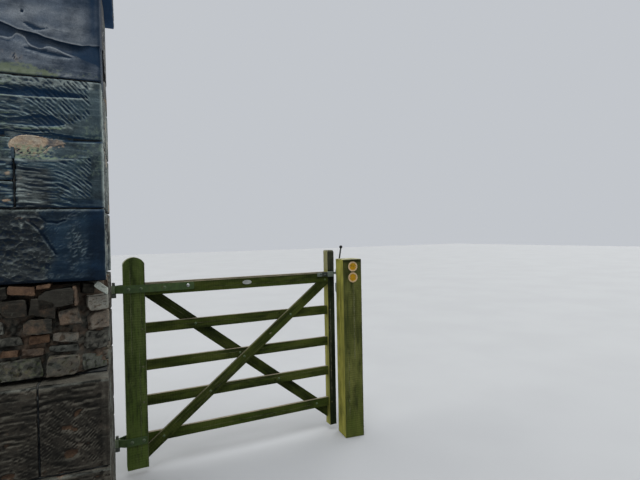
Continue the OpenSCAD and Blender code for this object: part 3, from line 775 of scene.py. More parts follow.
def top_relief(p, z):
    x = p - 360
    l1, l2 = ledges(p)
    front = sm((740 - p) / 60)
    right = sm((p - 700) / 20) * sm((1480 - p) / 20)
    q = np.abs((p % 720) - 360)
    corner = np.where(p < 718, 1 - 0.8 * sm((x - 250) / 90) - 0.6 * sm((-x - 240) / 90), 1 - 0.72 * sm((q - 215) / 110))
    corner = np.where((p >= 716) & (p < 1440), 0.03 + 0.97 * sm((p - 950) / 200) * sm((1375 - p) / 150), corner)
    away = 1 - front
    up = 4 + 6 * n2(p, z, 190, 110, 31, 3) + (1.6 + 2.2 * away) * n2(p, z, 52, 30, 32, 4, 0.5) + (0.5 + 2.0 * away) * fissures(p, z, 26, 30, 0.1)
    # a shallow dent with a faint fold running on from it, and a small hole
    dz = np.interp(x, [30, 38, 60, 85, 110, 147, 160], [2526, 2524, 2512, 2502, 2498, 2508, 2509])
    dw = np.interp(x, [30, 42, 62, 85, 112, 150, 160], [0, 4, 14, 17, 10, 3, 0])
    dent = sm((dw - np.abs(z - dz)) / 12) * front
    hole = sm(1.6 - np.hypot(x - 41, z - 2569) / 5.0) * front
    up = up + 6.5 * dent + 9 * hole - 1.8 * bump(z - 2507 + 0.07 * (x - 150), 4.5) * sm((x - 140) / 30) * sm((255 - x) / 40) * front
    up = up + 7 * sm((p - 655) / 40) * front * sm((z - 2470) / 40)
    up = up + 9 * sm((p - 560) / 150) * front * sm((z - 2700) / 90)
    low = 7 + 5 * n2(p, z, 130, 70, 33, 3) + (1.6 + 2.4 * away) * n2(p, z, 34, 20, 34, 4, 0.5) + 3.0 * fissures(p, z, 22, 39, 0.12) * sm((p - 740) / 40)
    # the hollow lens under the lower ledge, and a few small scars
    cz = np.interp(x, [30, 60, 100, 150, 200, 245], [2411, 2407, 2400, 2391, 2386, 2386])
    cw = np.interp(x, [28, 60, 110, 160, 205, 250], [0, 9, 14, 14, 8, 0])
    lens = sm((cz + cw - z) / 5) * sm((z - cz + cw + 6) / 22) * sm(cw / 4) * front
    scar = bump(x - 14, 28) * bump(z - 2364 - 0.25 * (x - 14), 12) * front
    low = low + 8 * lens + 6 * scar * sm(2.6 * n2(p, z, 22, 10, 97, 2))
    t = np.clip((l1 - z) / np.maximum(l1 - l2, 8), 0, 1)
    deep = 30 + 46 * away - 12 * sm((p - 590) / 100) * front + 10 * n2(p, z, 140, 200, 35, 2)
    step = 10 * sm((640 - p) / 60) * front + 13 * away
    mid = deep * (1 - sm(t * 0.95)) + (low + step) * sm(t * 0.95)
    below = low + step * np.exp(-np.maximum(0, l2 - z) / 26.0)
    below = below - 4.5 * front * bump(z - l2 + 4, 6) * sm((250 - x) / 30)
    d = np.where(z >= l1 + 0.3, up, np.where(z >= l1, up + 3 * corner, np.where(z >= l2, mid, below)))
    # honeycombed bands on the sides away from the photo
    v = n2(p, z, 92, 58, 16, 2) + 0.55 * n2(p, z, 40, 27, 17, 2)
    belt = sm((z - l1 - 12) / 40) * sm((2760 + 40 * n2(p, z * 0, 200, 50, 15, 2) - z) / 60)
    caverns = 36 * sm((v - 0.13) / 0.17) * belt * sm((p - 742) / 30) * sm((2860 - p) / 30)
    caverns = caverns + 22 * sm((n2(p, z, 70, 30, 14, 2) - 0.25) / 0.15) * sm((l2 - 10 - z) / 20) * sm((z - 2312) / 20) * away
    d = (d - 3) * corner + 3 + caverns * corner
    lift = np.where(z < l1, 7.0 * np.exp(-np.maximum(0, l1 - z) / 10.0) * sm((deep - 14) / 20), 0) * corner
    warm = 0.8 * sm((30 - np.abs(z - l2 + 16)) / 26) * sm((p - 800) / 60) * (0.45 + 1.0 * n2(p, z, 90, 40, 36, 3))
    warm = warm + 0.75 * sm((caverns - 4) / 12) * (1 - sm((caverns - 22) / 12)) * sm((p - 740) / 40)
    warm = warm + 0.35 * sm((l2 + 60 - z) / 60) * away * sm(1.6 * n2(p, z, 150, 90, 27, 3))
    warm = warm + front * 0.26 * sm((90 - x) / 80) * sm((2412 - z) / 20) * sm((z - 2306) / 30) * (0.8 + 0.9 * n2(p, z, 60, 30, 98, 3))
    algae = front * (1.0 * bump(z - 2299, 13) * sm((560 - p) / 60) + 0.5 * bump(z - 2318, 26) * sm((600 - p) / 240) + 0.35 * bump(z - 2305, 30)) * (0.9 + 1.3 * n2(p, z, 26, 12, 26, 3))
    algae = algae + away * (0.5 * bump(z - 2300, 24) + 0.55 * sm((z - 2730) / 70) * sm(0.3 + 2 * n2(p, z, 190, 120, 37, 3)))
    # the recess between the ledges; the dark that follows is painted shade in that recess, in the caverns, the lens,
    # dent, hole and scar, beside the right arris and on the +X return near the front, with a dark bed line and darker
    # patches high up
    recess = np.where((z < l1 + 0.3) & (z > l2 + 2), 1.0, 0.0)
    dark = (0.72 * front + 0.85 * away * sm((d - 16) / 20)) * recess + 0.8 * sm((caverns * corner - 14) / 14) + 0.85 * recess * front * sm((x - 225) / 40)
    dark = dark + front * (0.8 * bump(x - 333, 15) * sm((z - 2470) / 40) + 0.5 * sm((x - 342) / 8) + 0.5 * sm((x - 250) / 60) * sm((l2 + 30 - z) / 20) * sm((z - 2330) / 50))
    dark = dark + right * 0.5 * sm((1000 - p) / 160) + front * (0.45 * lens + 0.15 * dent + hole + 0.6 * scar * sm(3 * n2(p, z, 22, 10, 97, 2)))
    dark = dark + 0.6 * bump(z - 2286, 3) * front + front * 0.4 * sm((z - 2610) / 30) * sm(0.5 + 1.5 * n2(p, z, 150, 90, 99, 3))
    # pale: painted highlights on the lit edges of both ledges and under the small hole, and paler patches above and
    # below the recess
    pale = 1.15 * bump(z - l1 - 3, 4.5) * np.where(z > l1 + 0.3, 1.0, 0.0) * (0.35 + 0.65 * sm((655 - p) / 40)) + 0.85 * front * bump(z - l2 + 3, 5) * sm((255 - x) / 40)
    pale = pale + front * (0.62 * sm((z - l1 - 6) / 20) * sm((2622 - z) / 30) * sm(0.62 + 1.3 * n2(p, z, 120, 60, 38, 3)) * sm((322 - x) / 60) * (1 - dent))
    pale = pale + front * (0.22 * bump(z - 2306, 26) * sm((240 - x) / 120) + 0.8 * bump(z - 2298, 10) * sm((330 - x) / 120) * sm(0.6 + 2.2 * n2(p, z, 22, 10, 127, 2)) + 0.7 * bump(z - 2557, 4) * bump(x - 41, 5))
    pale = pale + front * 0.32 * sm((l2 - z) / 14) * sm((z - 2318) / 30) * sm(0.45 + 1.3 * n2(p, z, 110, 30, 25, 3)) * sm((250 - x) / 90)
    # the +X return beside the front is painted shade
    return d, lift, {"warm": warm, "algae": algae, "dark": np.clip(dark, 0, 1), "pale": np.clip(pale, 0, 1), "brown": browning(p, z, 13) * sm((p - 860) / 140), "soot": 0.45 * right * sm((1180 - p) / 200)}


def side_masks(p, edge=44.0):
    """Front share, +X share, smooth drafted margins beside the arrises."""
    q = np.abs((p % 720) - 360)
    front = sm((735 - p) / 20)
    right = np.where((p > 718) & (p < 1442), 1.0, 0.0)
    margin = 1 - sm((q - (360 - edge)) / 22)
    margin = np.where(p < 718, np.where(p < 360, 1.0, margin), margin)
    return front, right, margin


def right_values(p, z, right, seed):
    """The +X face: paler, less sooty stone with brown and green patches, palest beside the front arris, where the
    paleness is partly painted light from the open side.
    """
    nn = n2(p, z, 150, 110, seed, 4) + 0.5 * n2(p, z, 40, 22, seed + 3, 3)
    near = sm((880 - p) / 110)
    pale = right * np.clip(0.26 + 1.2 * near + 0.9 * nn * (1 - 0.6 * near), 0, 1)
    return pale, right * (1 - 0.8 * near) * 0.45 * sm(0.2 + 2 * n2(p, z, 90, 140, seed + 1, 3)), right * (0.4 - 0.2 * near) * sm(0.2 + 2 * n2(p, z, 120, 60, seed + 2, 3))


def browning(p, z, seed):
    """How far the stone turns from the blue-black of the front to brown-grey away from it; the black is sooty crust,
    the blue in it painted blue shade.
    """
    return sm((p - 715) / 20) * (1 - 0.7 * sm((880 - p) / 110)) * sm((2900 - p) / 30) * np.clip(0.75 + 0.5 * n2(p, z, 300, 260, seed, 2), 0.3, 1)


def spall(p, z, grow=0):
    """The hollow where the crust has come off, across the bed of the second course: 0 outside to 1 inside."""
    x = p - 360
    wob = 7 * n2(p, z, 34, 24, 55, 3) + 5 * n2(p, z, 11, 8, 56, 2)
    roof = np.interp(x, [-30, -16, -3, 18, 44, 71, 92, 107, 126, 150, 175, 190, 214], [1968, 1990, 2003, 2012, 2017, 2017, 2012, 2006, 2003, 2004, 2003, 1992, 1980]) + wob
    foot = np.interp(x, [-30, -14, 10, 40, 90, 115, 135, 186, 214], [1956, 1948, 1928, 1920, 1922, 1938, 1956, 1968, 1974]) + wob
    return sm((roof + 5 + 0.4 * grow - z) / 16) * sm((z - foot + grow) / 22) * sm((x + 30) / 16) * sm((212 - x) / 22) * sm((735 - p) / 20)


def first_relief(p, z):
    x = p - 360
    front, right, margin = side_masks(p)
    s, lit = strokes(p, z, ([-360, -40, 60, 130, 220, 330, 380], [0.05, 0.35, 0.7, 0.92, 1.0, 1.05, 1.05]), 22, 42, 8.0, 78.0)
    fl = fissures(p, z, 36, 43, 0.06, 1.1)
    fs = fissures(p, z, 15, 48, 0.1, 0.8)
    side = sm(0.4 + 2.2 * n2(p, z, 260, 300, 44, 2))
    end = 312 + 16 * n2(z, z * 0, 26, 40, 105, 2)
    keep = sm((end - x) / 16) * sm((z - 2034 - 0.62 * np.maximum(0, x - 185) - 12 * n2(p, z, 30, 30, 106, 2)) / 26)
    keep = np.where(x > 150, keep, 1.0) * front + margin * (1 - front)
    tooled = np.where(p < 735, sm((x - 10) / 110), side)
    d = 1.6 + 1.4 * (1 + n2(p, z, 150, 60, 41, 3))
    d = d + keep * (12.0 * s * (0.3 + 0.7 * tooled) + (8.5 * fl + 4.0 * fs) * (1 - 0.85 * tooled) + 3 * n2(p, z, 70, 34, 49, 3))
    top = np.interp(x, [-360, -8, 50, 150, 230, 292, 310], [2224, 2224, 2236, 2230, 2222, 2208, 2202])
    bot = np.interp(x, [-360, 0, 100, 200, 290, 360], [2190, 2191, 2192, 2197, 2201, 2204]) + 2.0 * n2(p, z * 0, 40, 40, 24, 2)
    band = sm((top + 6 * n2(p, z, 40, 400, 107, 2) - z) / 16) * sm((z - bot + 2) / 3.5) * sm((300 - x) / 40) * front
    hole = spall(p, z)
    deep = sm((hole - 0.42) / 0.4)
    top2 = np.interp(x, [-360, -35, 34, 70, 144, 176, 206], [2084, 2086, 2096, 2110, 2112, 2098, 2076]) + 4 * n2(p, z * 0, 50, 50, 45, 2)
    bot2 = np.interp(x, [-360, -35, 92, 155, 206], [2060, 2060, 2056, 2060, 2070]) + 2 * n2(p, z * 0, 40, 40, 23, 2)
    band2 = sm((top2 - z) / 10) * sm((z - bot2) / 4) * sm((208 - x) / 14) * front
    roof = np.interp(x, [-360, -40, 0, 60, 120, 180, 240, 300, 360], [2030, 2030, 2028, 2027, 2031, 2025, 2015, 2011, 2009]) + 4 * n2(p, z * 0, 60, 60, 22, 3)
    under = sm((roof - z) / 5) * front * sm((349 - x) / 50)
    lip = np.interp(x, [-40, 0, 50, 100, 150, 200], [2043, 2044, 2045, 2048, 2052, 2055]) + 3 * n2(p, z * 0, 30, 30, 108, 2)
    rib = np.interp(x, [140, 200, 235], [2130, 2070, 2050])
    d = d * (1 - 0.5 * np.maximum(band, band2)) + 14 * band + 12 * band2 + 13 * under + 6 * bump(z - lip + 12, 5) * sm((150 - x) / 40) * front
    d = d * (1 - deep) + 12 * deep
    d = d - 2.5 * bump(z - lip, 8) * front * sm((225 - x) / 30) - 2.0 * bump(z - rib, 5) * sm((x - 140) / 10) * sm((238 - x) / 15)
    pr, wr, ar = right_values(p, z, right, 740)
    brown = browning(p, z, 742) + 0.15 * front * sm((60 - x) / 90)
    warm = wr + (1 - front) * (1 - right) * 0.6 * sm(n2(p, z, 150, 90, 46, 4) * 3 - 0.5) + (1.1 - 0.6 * sm((x - 104) / 30)) * sm((hole - 0.05) / 0.5)
    moss = 0.6 + 1.2 * n2(p, z, 24, 12, 21, 3)
    algae = ar + front * (0.75 * bump(z - 2252, 26) * sm((70 - x) / 60) * moss + 1.1 * bump(z - lip, 6.5) * sm((235 - x) / 40) * moss + 0.45 * bump(z - bot + 5, 5) * sm((180 - x) / 60)
                          + 0.6 * bump(z - 2109, 8) * sm((60 - x) / 60) * moss + 0.5 * sm((40 - x) / 90) * sm(0.1 + 2.2 * n2(p, z, 120, 26, 47, 3)) + 0.2 * sm((x - 235) / 60) + 0.16 * sm((x - 190) / 40) * sm((2105 - z) / 30))
    # dark: painted shade in both grooved bands and under the broken lower edge, and a dark bed joint line at the top
    dark = 0.8 * band * (1 - 0.4 * sm((x - 190) / 60)) + 0.6 * band2 * (0.5 + 0.5 * sm((x - 40) / 120)) + 1.0 * under * (1 - hole) + 0.7 * bump(z - 2281.5, 2) * front + 0.25 * front * bump(z - 2243, 6) * sm(3 * n2(p, z, 40, 20, 109, 2))
    # pale: painted highlights along the top edge, the arris, the groove's lower edge, the lip, the rib and the lips of
    # strokes and fissures, with a paler band at the top
    pale = pr + front * (0.9 * bump(z - 2277, 4) * sm((352 - x) / 10) + 0.85 * bump(z - bot + 4, 4) * sm((305 - x) / 20) + 0.85 * bump(x - 357, 4) * sm((z - 2040) / 30) + 0.8 * bump(z - lip, 4.5) * sm((225 - x) / 30) * sm(0.7 + 2 * n2(p, z, 24, 14, 128, 2))
                         + 0.6 * bump(z - rib, 5) * sm((x - 140) / 10) * sm((238 - x) / 15)
                         + 1.6 * sm((z - 2236) / 12) * sm((2279 - z) / 5) * sm((340 - x) / 50) * sm(0.7 + 2.8 * n2(p, z, 28, 15, 57, 3))
                         + 0.95 * lit * keep * tooled + 0.10 * (1 - keep) * sm((z - 2026) / 12) + 0.5 * keep * (1 - tooled) * bump(fl - 0.25, 0.16) * sm(0.3 + 2 * n2(p, z, 40, 18, 129, 2)))
    # sooty deposit in the gouges and fissures, and painted shadow under the broken lower edge and under the lip
    soot = front * (0.55 * sm(1.4 * s) * keep * tooled + 0.15 * under * (1 - hole) * sm((x - 120) / 60) + 0.4 * sm(1.3 * fl) * keep * (1 - tooled) + 0.35 * bump(z - lip + 12, 5) * sm((150 - x) / 40) * (1 - hole))
    return d, zero(p), {"warm": warm, "algae": algae, "dark": np.clip(dark, 0, 1), "pale": np.clip(pale, 0, 1), "brown": brown, "soot": np.clip(soot, 0, 1)}


def specks(p, z):
    """Green specks on the ledge under the crumbled place and on its lower half, and the dark between them."""
    x = p - 360
    where = sm((1990 - 0.05 * x - z) / 34) * sm((x + 8) / 14) * sm((172 - x) / 50) * sm((z - 1904) / 6) * sm((735 - p) / 20)
    v = n2(p, z, 13, 9, 94, 3)
    return where * sm(0.55 + 3.0 * v), where * sm(-0.1 - 3.2 * v) * sm((1966 - z) / 20)


def second_relief(p, z):
    x = p - 360
    front, right, margin = side_masks(p)
    s, lit = strokes(p, z, ([-360, 0, 120, 200, 260, 320, 380], [0.0, 0.10, 0.28, 0.55, 0.82, 0.95, 0.95]), 19, 52, 7.0, 92.0)
    fl = fissures(p, z, 28, 53, 0.14, 1.0)
    fs = fissures(p, z, 13, 59, 0.08, 0.7)
    ledge = np.interp(x, [-360, -15, 100, 180, 240, 330], [1903, 1903, 1904, 1908, 1920, 1928])
    end = 312 + 16 * n2(z, z * 0, 24, 40, 115, 2)
    tooled = np.where(p < 735, sm((x - 130) / 70) * sm((ledge + 2 - z) / 14) * sm((z - 1722 - 10 * n2(p, z, 40, 40, 116, 2)) / 30), sm(0.3 + 2.2 * n2(p, z, 260, 300, 54, 2)))
    keep = np.where(x > 120, sm((end - x) / 16) * (1 - 0.7 * sm((x - 200) / 40) * sm((1742 - z) / 20)), 1.0) * front + margin * (1 - front)
    above = sm((z - ledge) / 8) * front
    d = 1.8 + 1.5 * (1 + n2(p, z, 160, 70, 51, 3))
    d = d + keep * (12.5 * s * tooled * (1 - above) + (7.5 * fl + 4.0 * fs) * (1 - 0.85 * tooled) * (1 - 0.7 * above) + 2.5 * n2(p, z, 80, 40, 60, 3))
    hollow = spall(p, z)
    deep = sm((hollow - 0.42) / 0.4)
    d = d + 3.5 * above * sm((330 - x) / 60) * sm((x + 15) / 10) + 5 * sm((z - 1992) / 8) * sm((x - 190) / 30) * sm((349 - x) / 30) * front
    d = d * (1 - deep) + 12 * deep
    d = d - 2.2 * bump(z - ledge + 2, 5) * front * sm((260 - x) / 60) * sm((x + 12) / 6)
    # worn upright joint
    gape = 0.35 + 0.65 * sm((1900 - z) / 30)
    wear = front * bump(x + 8 + 5 * n2(z, z * 0, 60, 60, 117, 3), 8 + 6 * gape) * np.clip(0.5 + 1.6 * n2(z, z * 0, 24, 40, 118, 3), 0, 1.3)
    d = d + np.clip(16 * wear * gape, 0, 18)
    pr, wr, ar = right_values(p, z, right, 750)
    left = front * sm((-14 - x) / 6)
    brown = browning(p, z, 752) + 0.55 * front * sm((170 - x) / 60) * sm((1885 - z) / 30) * sm((x + 4) / 8)
    warm = wr + (1.1 - 0.6 * sm((x - 104) / 30)) * sm((hollow - 0.05) / 0.5) + 0.75 * spall(p, z, 16) * (0.6 + 1.8 * n2(p, z, 14, 9, 136, 2)) + (1 - front) * (1 - right) * 0.6 * sm(n2(p, z, 160, 90, 57, 4) * 3 - 0.5)
    warm = warm + left * (1.2 * bump(z - 1842, 11) * bump(x + 30, 18) + 1.0 * bump(z - 1721, 12) * bump(x + 39, 18)) * (0.8 + 1.3 * n2(p, z, 30, 6, 119, 2))
    warm = warm + 0.25 * front * sm((160 - x) / 60) * sm((1880 - z) / 40) * (0.5 + 1.2 * n2(p, z, 80, 22, 63, 3)) * sm((x + 4) / 8)
    moss = 0.62 + 1.3 * n2(p, z, 18, 11, 58, 3)
    green, gap = specks(p, z)
    algae = ar + front * (0.9 * green + 0.9 * bump(z - ledge - 10, 10) * sm((x + 12) / 10) * sm((262 - x) / 40) * moss
                          + 0.3 * sm((x - 200) / 60) * sm((z - 1780) / 80) + 0.35 * left * sm((z - 1880) / 30) + 0.4 * bump(z - 1692, 7) * sm((20 - x) / 30))
    # dark: painted shadow under the first course's edge and along the bottom edge, the dark between the green specks,
    # and the upright joint
    dark = front * (0.7 * gap + 1.0 * sm((z - 1990) / 4) * sm((x - 185) / 15) + 0.45 * bump(x + 8, 9) + 0.7 * sm((1694 - z) / 6) + 0.3 * sm((x - 205) / 40) * sm((1735 - z) / 20))
    cream = bump(x - 14, 22) * (bump(z - 1770, 5) + bump(z - 1743, 5)) + 0.8 * bump(z - 1717, 6) * sm((x - 4) / 8) * sm((130 - x) / 60) + 0.4 * bump(z - 1832, 6) * sm((x - 40) / 30) * sm((160 - x) / 40)
    # pale: painted highlights along the ledge, the arris, the left stone's lines and the stroke lips, with cream
    # patches and green specks
    pale = pr + front * (0.85 * bump(z - ledge + 2, 4) * sm((262 - x) / 40) + 0.75 * bump(x - 357, 4) + 0.6 * left * (bump(z - 1801, 4) + bump(z - 1901, 4)) + 1.0 * cream
                         + 0.7 * green + 0.10 * above * sm((x - 120) / 40)
                         + 0.98 * lit * tooled * keep * (1 - above) + 0.05 * sm((x - 306) / 10) + 0.24 * sm((120 - x) / 40) * sm(0.4 + 1.8 * n2(p, z, 70, 26, 65, 3)))
    # sooty deposit in the gouges and fissures, and painted shadow under the first course's edge, at the bottom edge and
    # in the upright joint
    soot = front * (0.58 * sm(1.4 * s) * tooled * keep * (1 - above) + 0.2 * sm((z - 1990) / 5) * sm((x - 185) / 15) + 0.5 * sm(1.4 * fl) * (1 - tooled) * (1 - above) + 0.5 * sm((1692 - z) / 5) + 0.5 * bump(x + 8, 6) * gape)
    return d, zero(p), {"warm": warm, "algae": algae, "dark": np.clip(dark, 0, 1), "pale": np.clip(pale, 0, 1), "brown": brown, "soot": np.clip(soot, 0, 1)}


def third_relief(p, z):
    x = p - 360
    front, right, margin = side_masks(p, 50.0)
    # broken surface at the left; a ledge falls from it to the smoother stone at the right
    bound = np.interp(z, [1340, 1400, 1440, 1474, 1505, 1537, 1579, 1621, 1650, 1685], [108, 116, 130, 144, 123, 107, 92, 108, 88, 85]) + 16 * n2(p, z, 44, 30, 66, 3)
    smooth = np.where(p < 735, sm((x - bound + 4) / 12), sm(0.3 + 2.0 * n2(p, z, 240, 200, 69, 2)))
    flake = flakes(p + 0.35 * z, z, 46, 29, 62) + 0.45 * flakes(p, z, 20, 14, 68)
    tint = np.where(p < 735, sm((x - bound + 22) / 55), smooth)
    rough = 14.0 * flake + 8 * (0.5 + 0.5 * n2(p, z, 110, 90, 63, 2)) - 2.5
    plane = flakes(p, z, 84, 56, 73, 0.6)
    facet = 8.0 * plane * (0.35 + 0.65 * sm((270 - x) / 90)) + 3.0 * n2(p, z, 60, 40, 74, 3)
    clusters = (bump(x - 228, 32) * bump(z - 1568, 34) + bump(x - 244, 40) * bump(z - 1513, 30) + bump(x - 230, 34) * bump(z - 1462, 30) + 0.8 * bump(x - 216, 16) * bump(z - 1420, 22)
                + 0.9 * bump(z - 1640 - 0.28 * (x - 180), 12) * sm((x - 140) / 20) * sm((275 - x) / 30) + 0.45 * bump(x - 302, 26) * bump(z - 1462, 26) + 0.5 * bump(z - 1373, 9) * sm((x - 105) / 20) * sm((315 - x) / 30))
    clusters = np.clip(clusters, 0, 1) * front
    pk = pecks(p, z, 24, 17, 0.55, 64)
    d = 1.6 + 1.4 * (1 + n2(p, z, 140, 90, 61, 3))
    d = d + np.where(p < 735, sm((345 - x) / 30), margin) * (rough * (1 - smooth) + (facet + 9.0 * np.exp(-np.maximum(0, x - bound) / 55.0) * front) * smooth
                                                           + (8.0 * clusters + 2.0 * front * smooth) * pk + (1 - front) * smooth * 4.0 * flakes(p, z, 40, 26, 76))
    xc = np.interp(z, [1440, 1474, 1505, 1537, 1579, 1621, 1640], [152, 146, 125, 109, 83, 46, 36]) + 12 * n2(z, z * 0, 46, 40, 133, 3)
    crack = bump((x - xc - 3) * 0.85 + 3 * n2(p, z, 26, 26, 75, 2), 5.0 + 3.0 * n2(p, z, 40, 40, 134, 2)) * sm((z - 1462) / 16) * sm((1634 - z) / 16) * front
    zb = np.interp(x, [84, 92, 113, 155, 200], [1652, 1645, 1622, 1617, 1634])
    branch = bump(z - zb + 7 * n2(p, z, 44, 30, 77, 3), 4.0) * sm((x - 84) / 8) * sm((205 - x) / 25) * front
    d = d + (7 + 5 * n2(p, z, 50, 50, 130, 2)) * crack + 6 * branch
    chip = sm((1358 + 8 * n2(p, z, 60, 400, 65, 3) - z) / 14) * front * sm((330 - x) / 60)
    d = d + 10 * chip
    pr, wr, ar = right_values(p, z, right, 760)
    brown = browning(p, z, 762) + 0.6 * front * (1 - tint)
    streak = bump(x - 13 - 9 * n2(z, z * 0, 22, 30, 78, 3), 8) * sm((z - 1578) / 24) * sm((1656 - z) / 20) * front * sm(0.5 + 2.4 * n2(p, z, 18, 14, 131, 2))
    warm = wr + 0.25 * (1 - tint) * front * sm(0.35 + 2 * n2(p, z, 90, 60, 70, 3)) + 0.5 * streak + (1 - front) * (1 - right) * 0.55 * sm(n2(p, z, 170, 100, 71, 4) * 3 - 0.6)
    warm = warm + right * 0.9 * sm((1372 - z) / 30) * sm((860 - p) / 60) + 0.35 * front * bump(x - 2, 26) * bump(z - 1640, 14)
    algae = ar + 0.24 * (1 - tint) * front * (0.7 + 1.2 * n2(p, z, 40, 30, 72, 3))
    # dark: the darker smoother stone at the right, and painted shadow along the crack, its branch and in the chipped
    # bottom
    dark = front * (tint * (0.5 + 0.35 * sm((x - 270) / 40)) * (1 - 0.75 * clusters) + 0.6 * crack + 0.5 * branch) + 0.5 * chip
    # sooty deposit on the smoother stone, and painted shadow along the crack, its branch and at the bottom edge
    soot = front * (tint * (0.24 + 0.36 * sm((x - 262) / 30) + 0.2 * sm((1420 - z) / 40) + 0.45 * sm(1.2 * plane - 0.2)) * (1 - 0.75 * clusters * sm(2.0 * pk)) + 0.34 * (1 - tint) * sm(1.5 * flake - 0.45) + 0.5 * crack + 0.4 * branch + 0.4 * bump(z - 1345, 14))
    soot = soot * (1 - streak) * (1 - 0.9 * bump(z - 1678, 9))
    dark = dark * (1 - 0.7 * bump(z - 1655, 22) * sm((x - 95) / 20) * sm((215 - x) / 40))
    # pale: painted highlights along the top edge and the arris, with pale pecked flecks, the cream streak and paler
    # crests at the left
    pale = pr + front * (1.2 * bump(z - 1678, 6) * sm((345 - x) / 10) + 2.9 * clusters * sm(2.4 * pk - 0.6) + 0.9 * streak + 0.7 * bump(x - 357, 4)
                         + 0.75 * (1 - tint) * sm(0.42 - 1.1 * flake + n2(p, z, 40, 30, 79, 2)) + 0.6 * bump(z - 1672, 12) * sm((10 - x) / 30) * sm(0.5 + 2 * n2(p, z, 30, 14, 80, 2)))
    return d, zero(p), {"warm": warm, "algae": algae, "dark": np.clip(dark, 0, 1), "pale": np.clip(pale, 0, 1), "brown": brown, "soot": np.clip(soot, 0, 1)}


def crumble(p, z):
    """The ochre stone that has crumbled behind the crust."""
    h = spall(p, z)
    x = p - 360
    d = 6.0 + 8 * (1 - sm((h - 0.02) / 0.4)) + 2.2 * n2(p, z, 60, 34, 91, 3) + 2.4 * n2(p, z, 15, 9, 92, 3) + 1.6 * fissures(p, z, 15, 93, 0.1)
    low = sm((1990 - 0.05 * x - z) / 34) * sm((150 - x) / 24)
    algae, gap = specks(p, z)
    warm = np.maximum(0.3, 1.35 - 0.68 * sm((x - 92) / 36) - 0.72 * low) * sm((h - 0.02) / 0.4) + 0.35 * n2(p, z, 40, 24, 95, 3) + 0.8 * low * n2(p, z, 12, 8, 135, 2) - 0.5 * gap
    return d, zero(p), {"warm": warm, "algae": 1.5 * algae, "soot": 1.0 * gap, "pale": 0.3 * algae + 0.35 * sm((118 - x) / 30) * sm((z - 1962) / 20) * sm(0.6 + 1.5 * n2(p, z, 34, 22, 96, 3)), "dark": 0.35 * sm((x - 118) / 20)}


def lower_relief(p, z):
    front, right, margin = side_masks(p)
    margin = np.where(p < 360, sm((p - 22) / 22), margin)
    d = 2 + 2 * (1 + n2(p, z, 150, 90, 71, 3))
    mixed = sm(0.5 + 2.5 * n2(p, z, 260, 260, 72, 1))
    s = strokes(p, z, ([-380, -60, 120, 380], [0.1, 0.3, 0.7, 0.9]), 19, 73)[0]
    fl = fissures(p, z, 36, 74, 0.03, 1.0)
    fs = fissures(p, z, 15, 79, 0.04, 0.8)
    d = d + margin * (5.0 * s * mixed + (8 * fl + 3.5 * fs) * (1 - mixed) + 5 * (0.5 + 0.5 * n2(p, z, 90, 60, 80, 3)))
    hollow = sm((n2(p, z, 120, 60, 75, 3) - 0.2) / 0.2)
    d = d + 9 * hollow
    warm = 0.7 * hollow + 0.5 * sm((300 - z) / 300) * sm(0.4 + 2 * n2(p, z, 200, 120, 76, 3)) + 0.15
    algae = 0.6 * sm((300 - z) / 300) * sm(0.35 + 2 * n2(p, z, 90, 60, 78, 3)) + 0.2 * sm(2 * n2(p, z, 140, 70, 83, 3))
    dark = 0.4 * sm(0.2 + 2.0 * n2(p, z, 240, 160, 84, 3))
    pale = 0.25 * bump((z % 430) - 5, 6) + 0.35 * right * sm(0.3 + 2 * n2(p, z, 120, 90, 85, 3))
    return d, zero(p), {"warm": warm, "algae": algae, "dark": dark, "pale": pale}


def course(z0, z1, cuts, relief, seed, fine=None, **kw):
    """A course of four stones laid pinwheel fashion. cuts = (xf, xb, yl, yr): the joint on the front, on the back,
    on the left and on the right side. xf <= xb. fine is the row height of the front stones."""
    xf, xb, yl, yr = cuts
    front = dict(kw, step=(9.0, 9.0, fine)) if fine else kw
    back = dict(kw, step=(11.0, 11.0, 8.5))
    xfine = (-60, HALF, 3.9 if fine else 9.0)
    a = block((xf, -HALF, z0), (HALF, yr, z1), relief, seed, xfine=xfine, **front)
    b = block((-HALF, -HALF, z0), (xf, yl, z1), relief, seed + 50, xfine=xfine, **kw)
    c = block((-HALF, yl, z0), (xb, HALF, z1), relief, seed + 100, **back)
    d = block((xb, yr, z0), (HALF, HALF, z1), relief, seed + 150, **back)
    return [a, b, c, d]


# top course, one great block whose weathered ledges run right round
def row_map(P):
    Q = P.copy()
    p = around(P, HALF)
    side = np.argmin(np.stack([P[:, 1] + HALF, HALF - P[:, 0], HALF - P[:, 1], P[:, 0] + HALF], 1), 1)
    pp = np.choose(side, [p["-y"], p["+x"], p["+y"], p["-x"]])
    l1, l2 = ledges(pp)
    z = P[:, 2]
    a, b, c, e = BED[6] + 3.0, 2410.0, 2480.0, BED[7] - 3.0
    Q[:, 2] = np.where(z < b, a + (z - a) * (l2 - a) / (b - a), np.where(z < c, l2 + (z - b) * (l1 - l2) / (c - b), l1 + (z - c) * (e - l1) / (e - c)))
    return Q


k = SCALE
rows = np.concatenate([
    ticks(BED[6] + 3.0, 2409.0, 5.6 * k, 8)[:-1], [2407.5, 2410.0, 2411.5],
    np.arange(2416.0, 2477.0, 5.2 * k), [2478.0, 2479.6, 2480.15, 2480.5, 2482.0],
    np.linspace(2487.0, BED[7] - 3.0 - 11, int(352 / (5.8 * k))), [BED[7] - 8.6, BED[7] - 5.2, BED[7] - 3.0]])
rows = np.unique(np.round(rows, 3))
top = block((-HALF, -HALF, BED[6]), (HALF, HALF, BED[7]), top_relief, 11, step=(12.0, 12.0, 6.5), zrows=rows, xfine=(-60, HALF, 5.2), shape=row_map, r=9, pull=190.0)
build("pier_top_block", top, "pier", "root", CRAG, "pier_top_course")

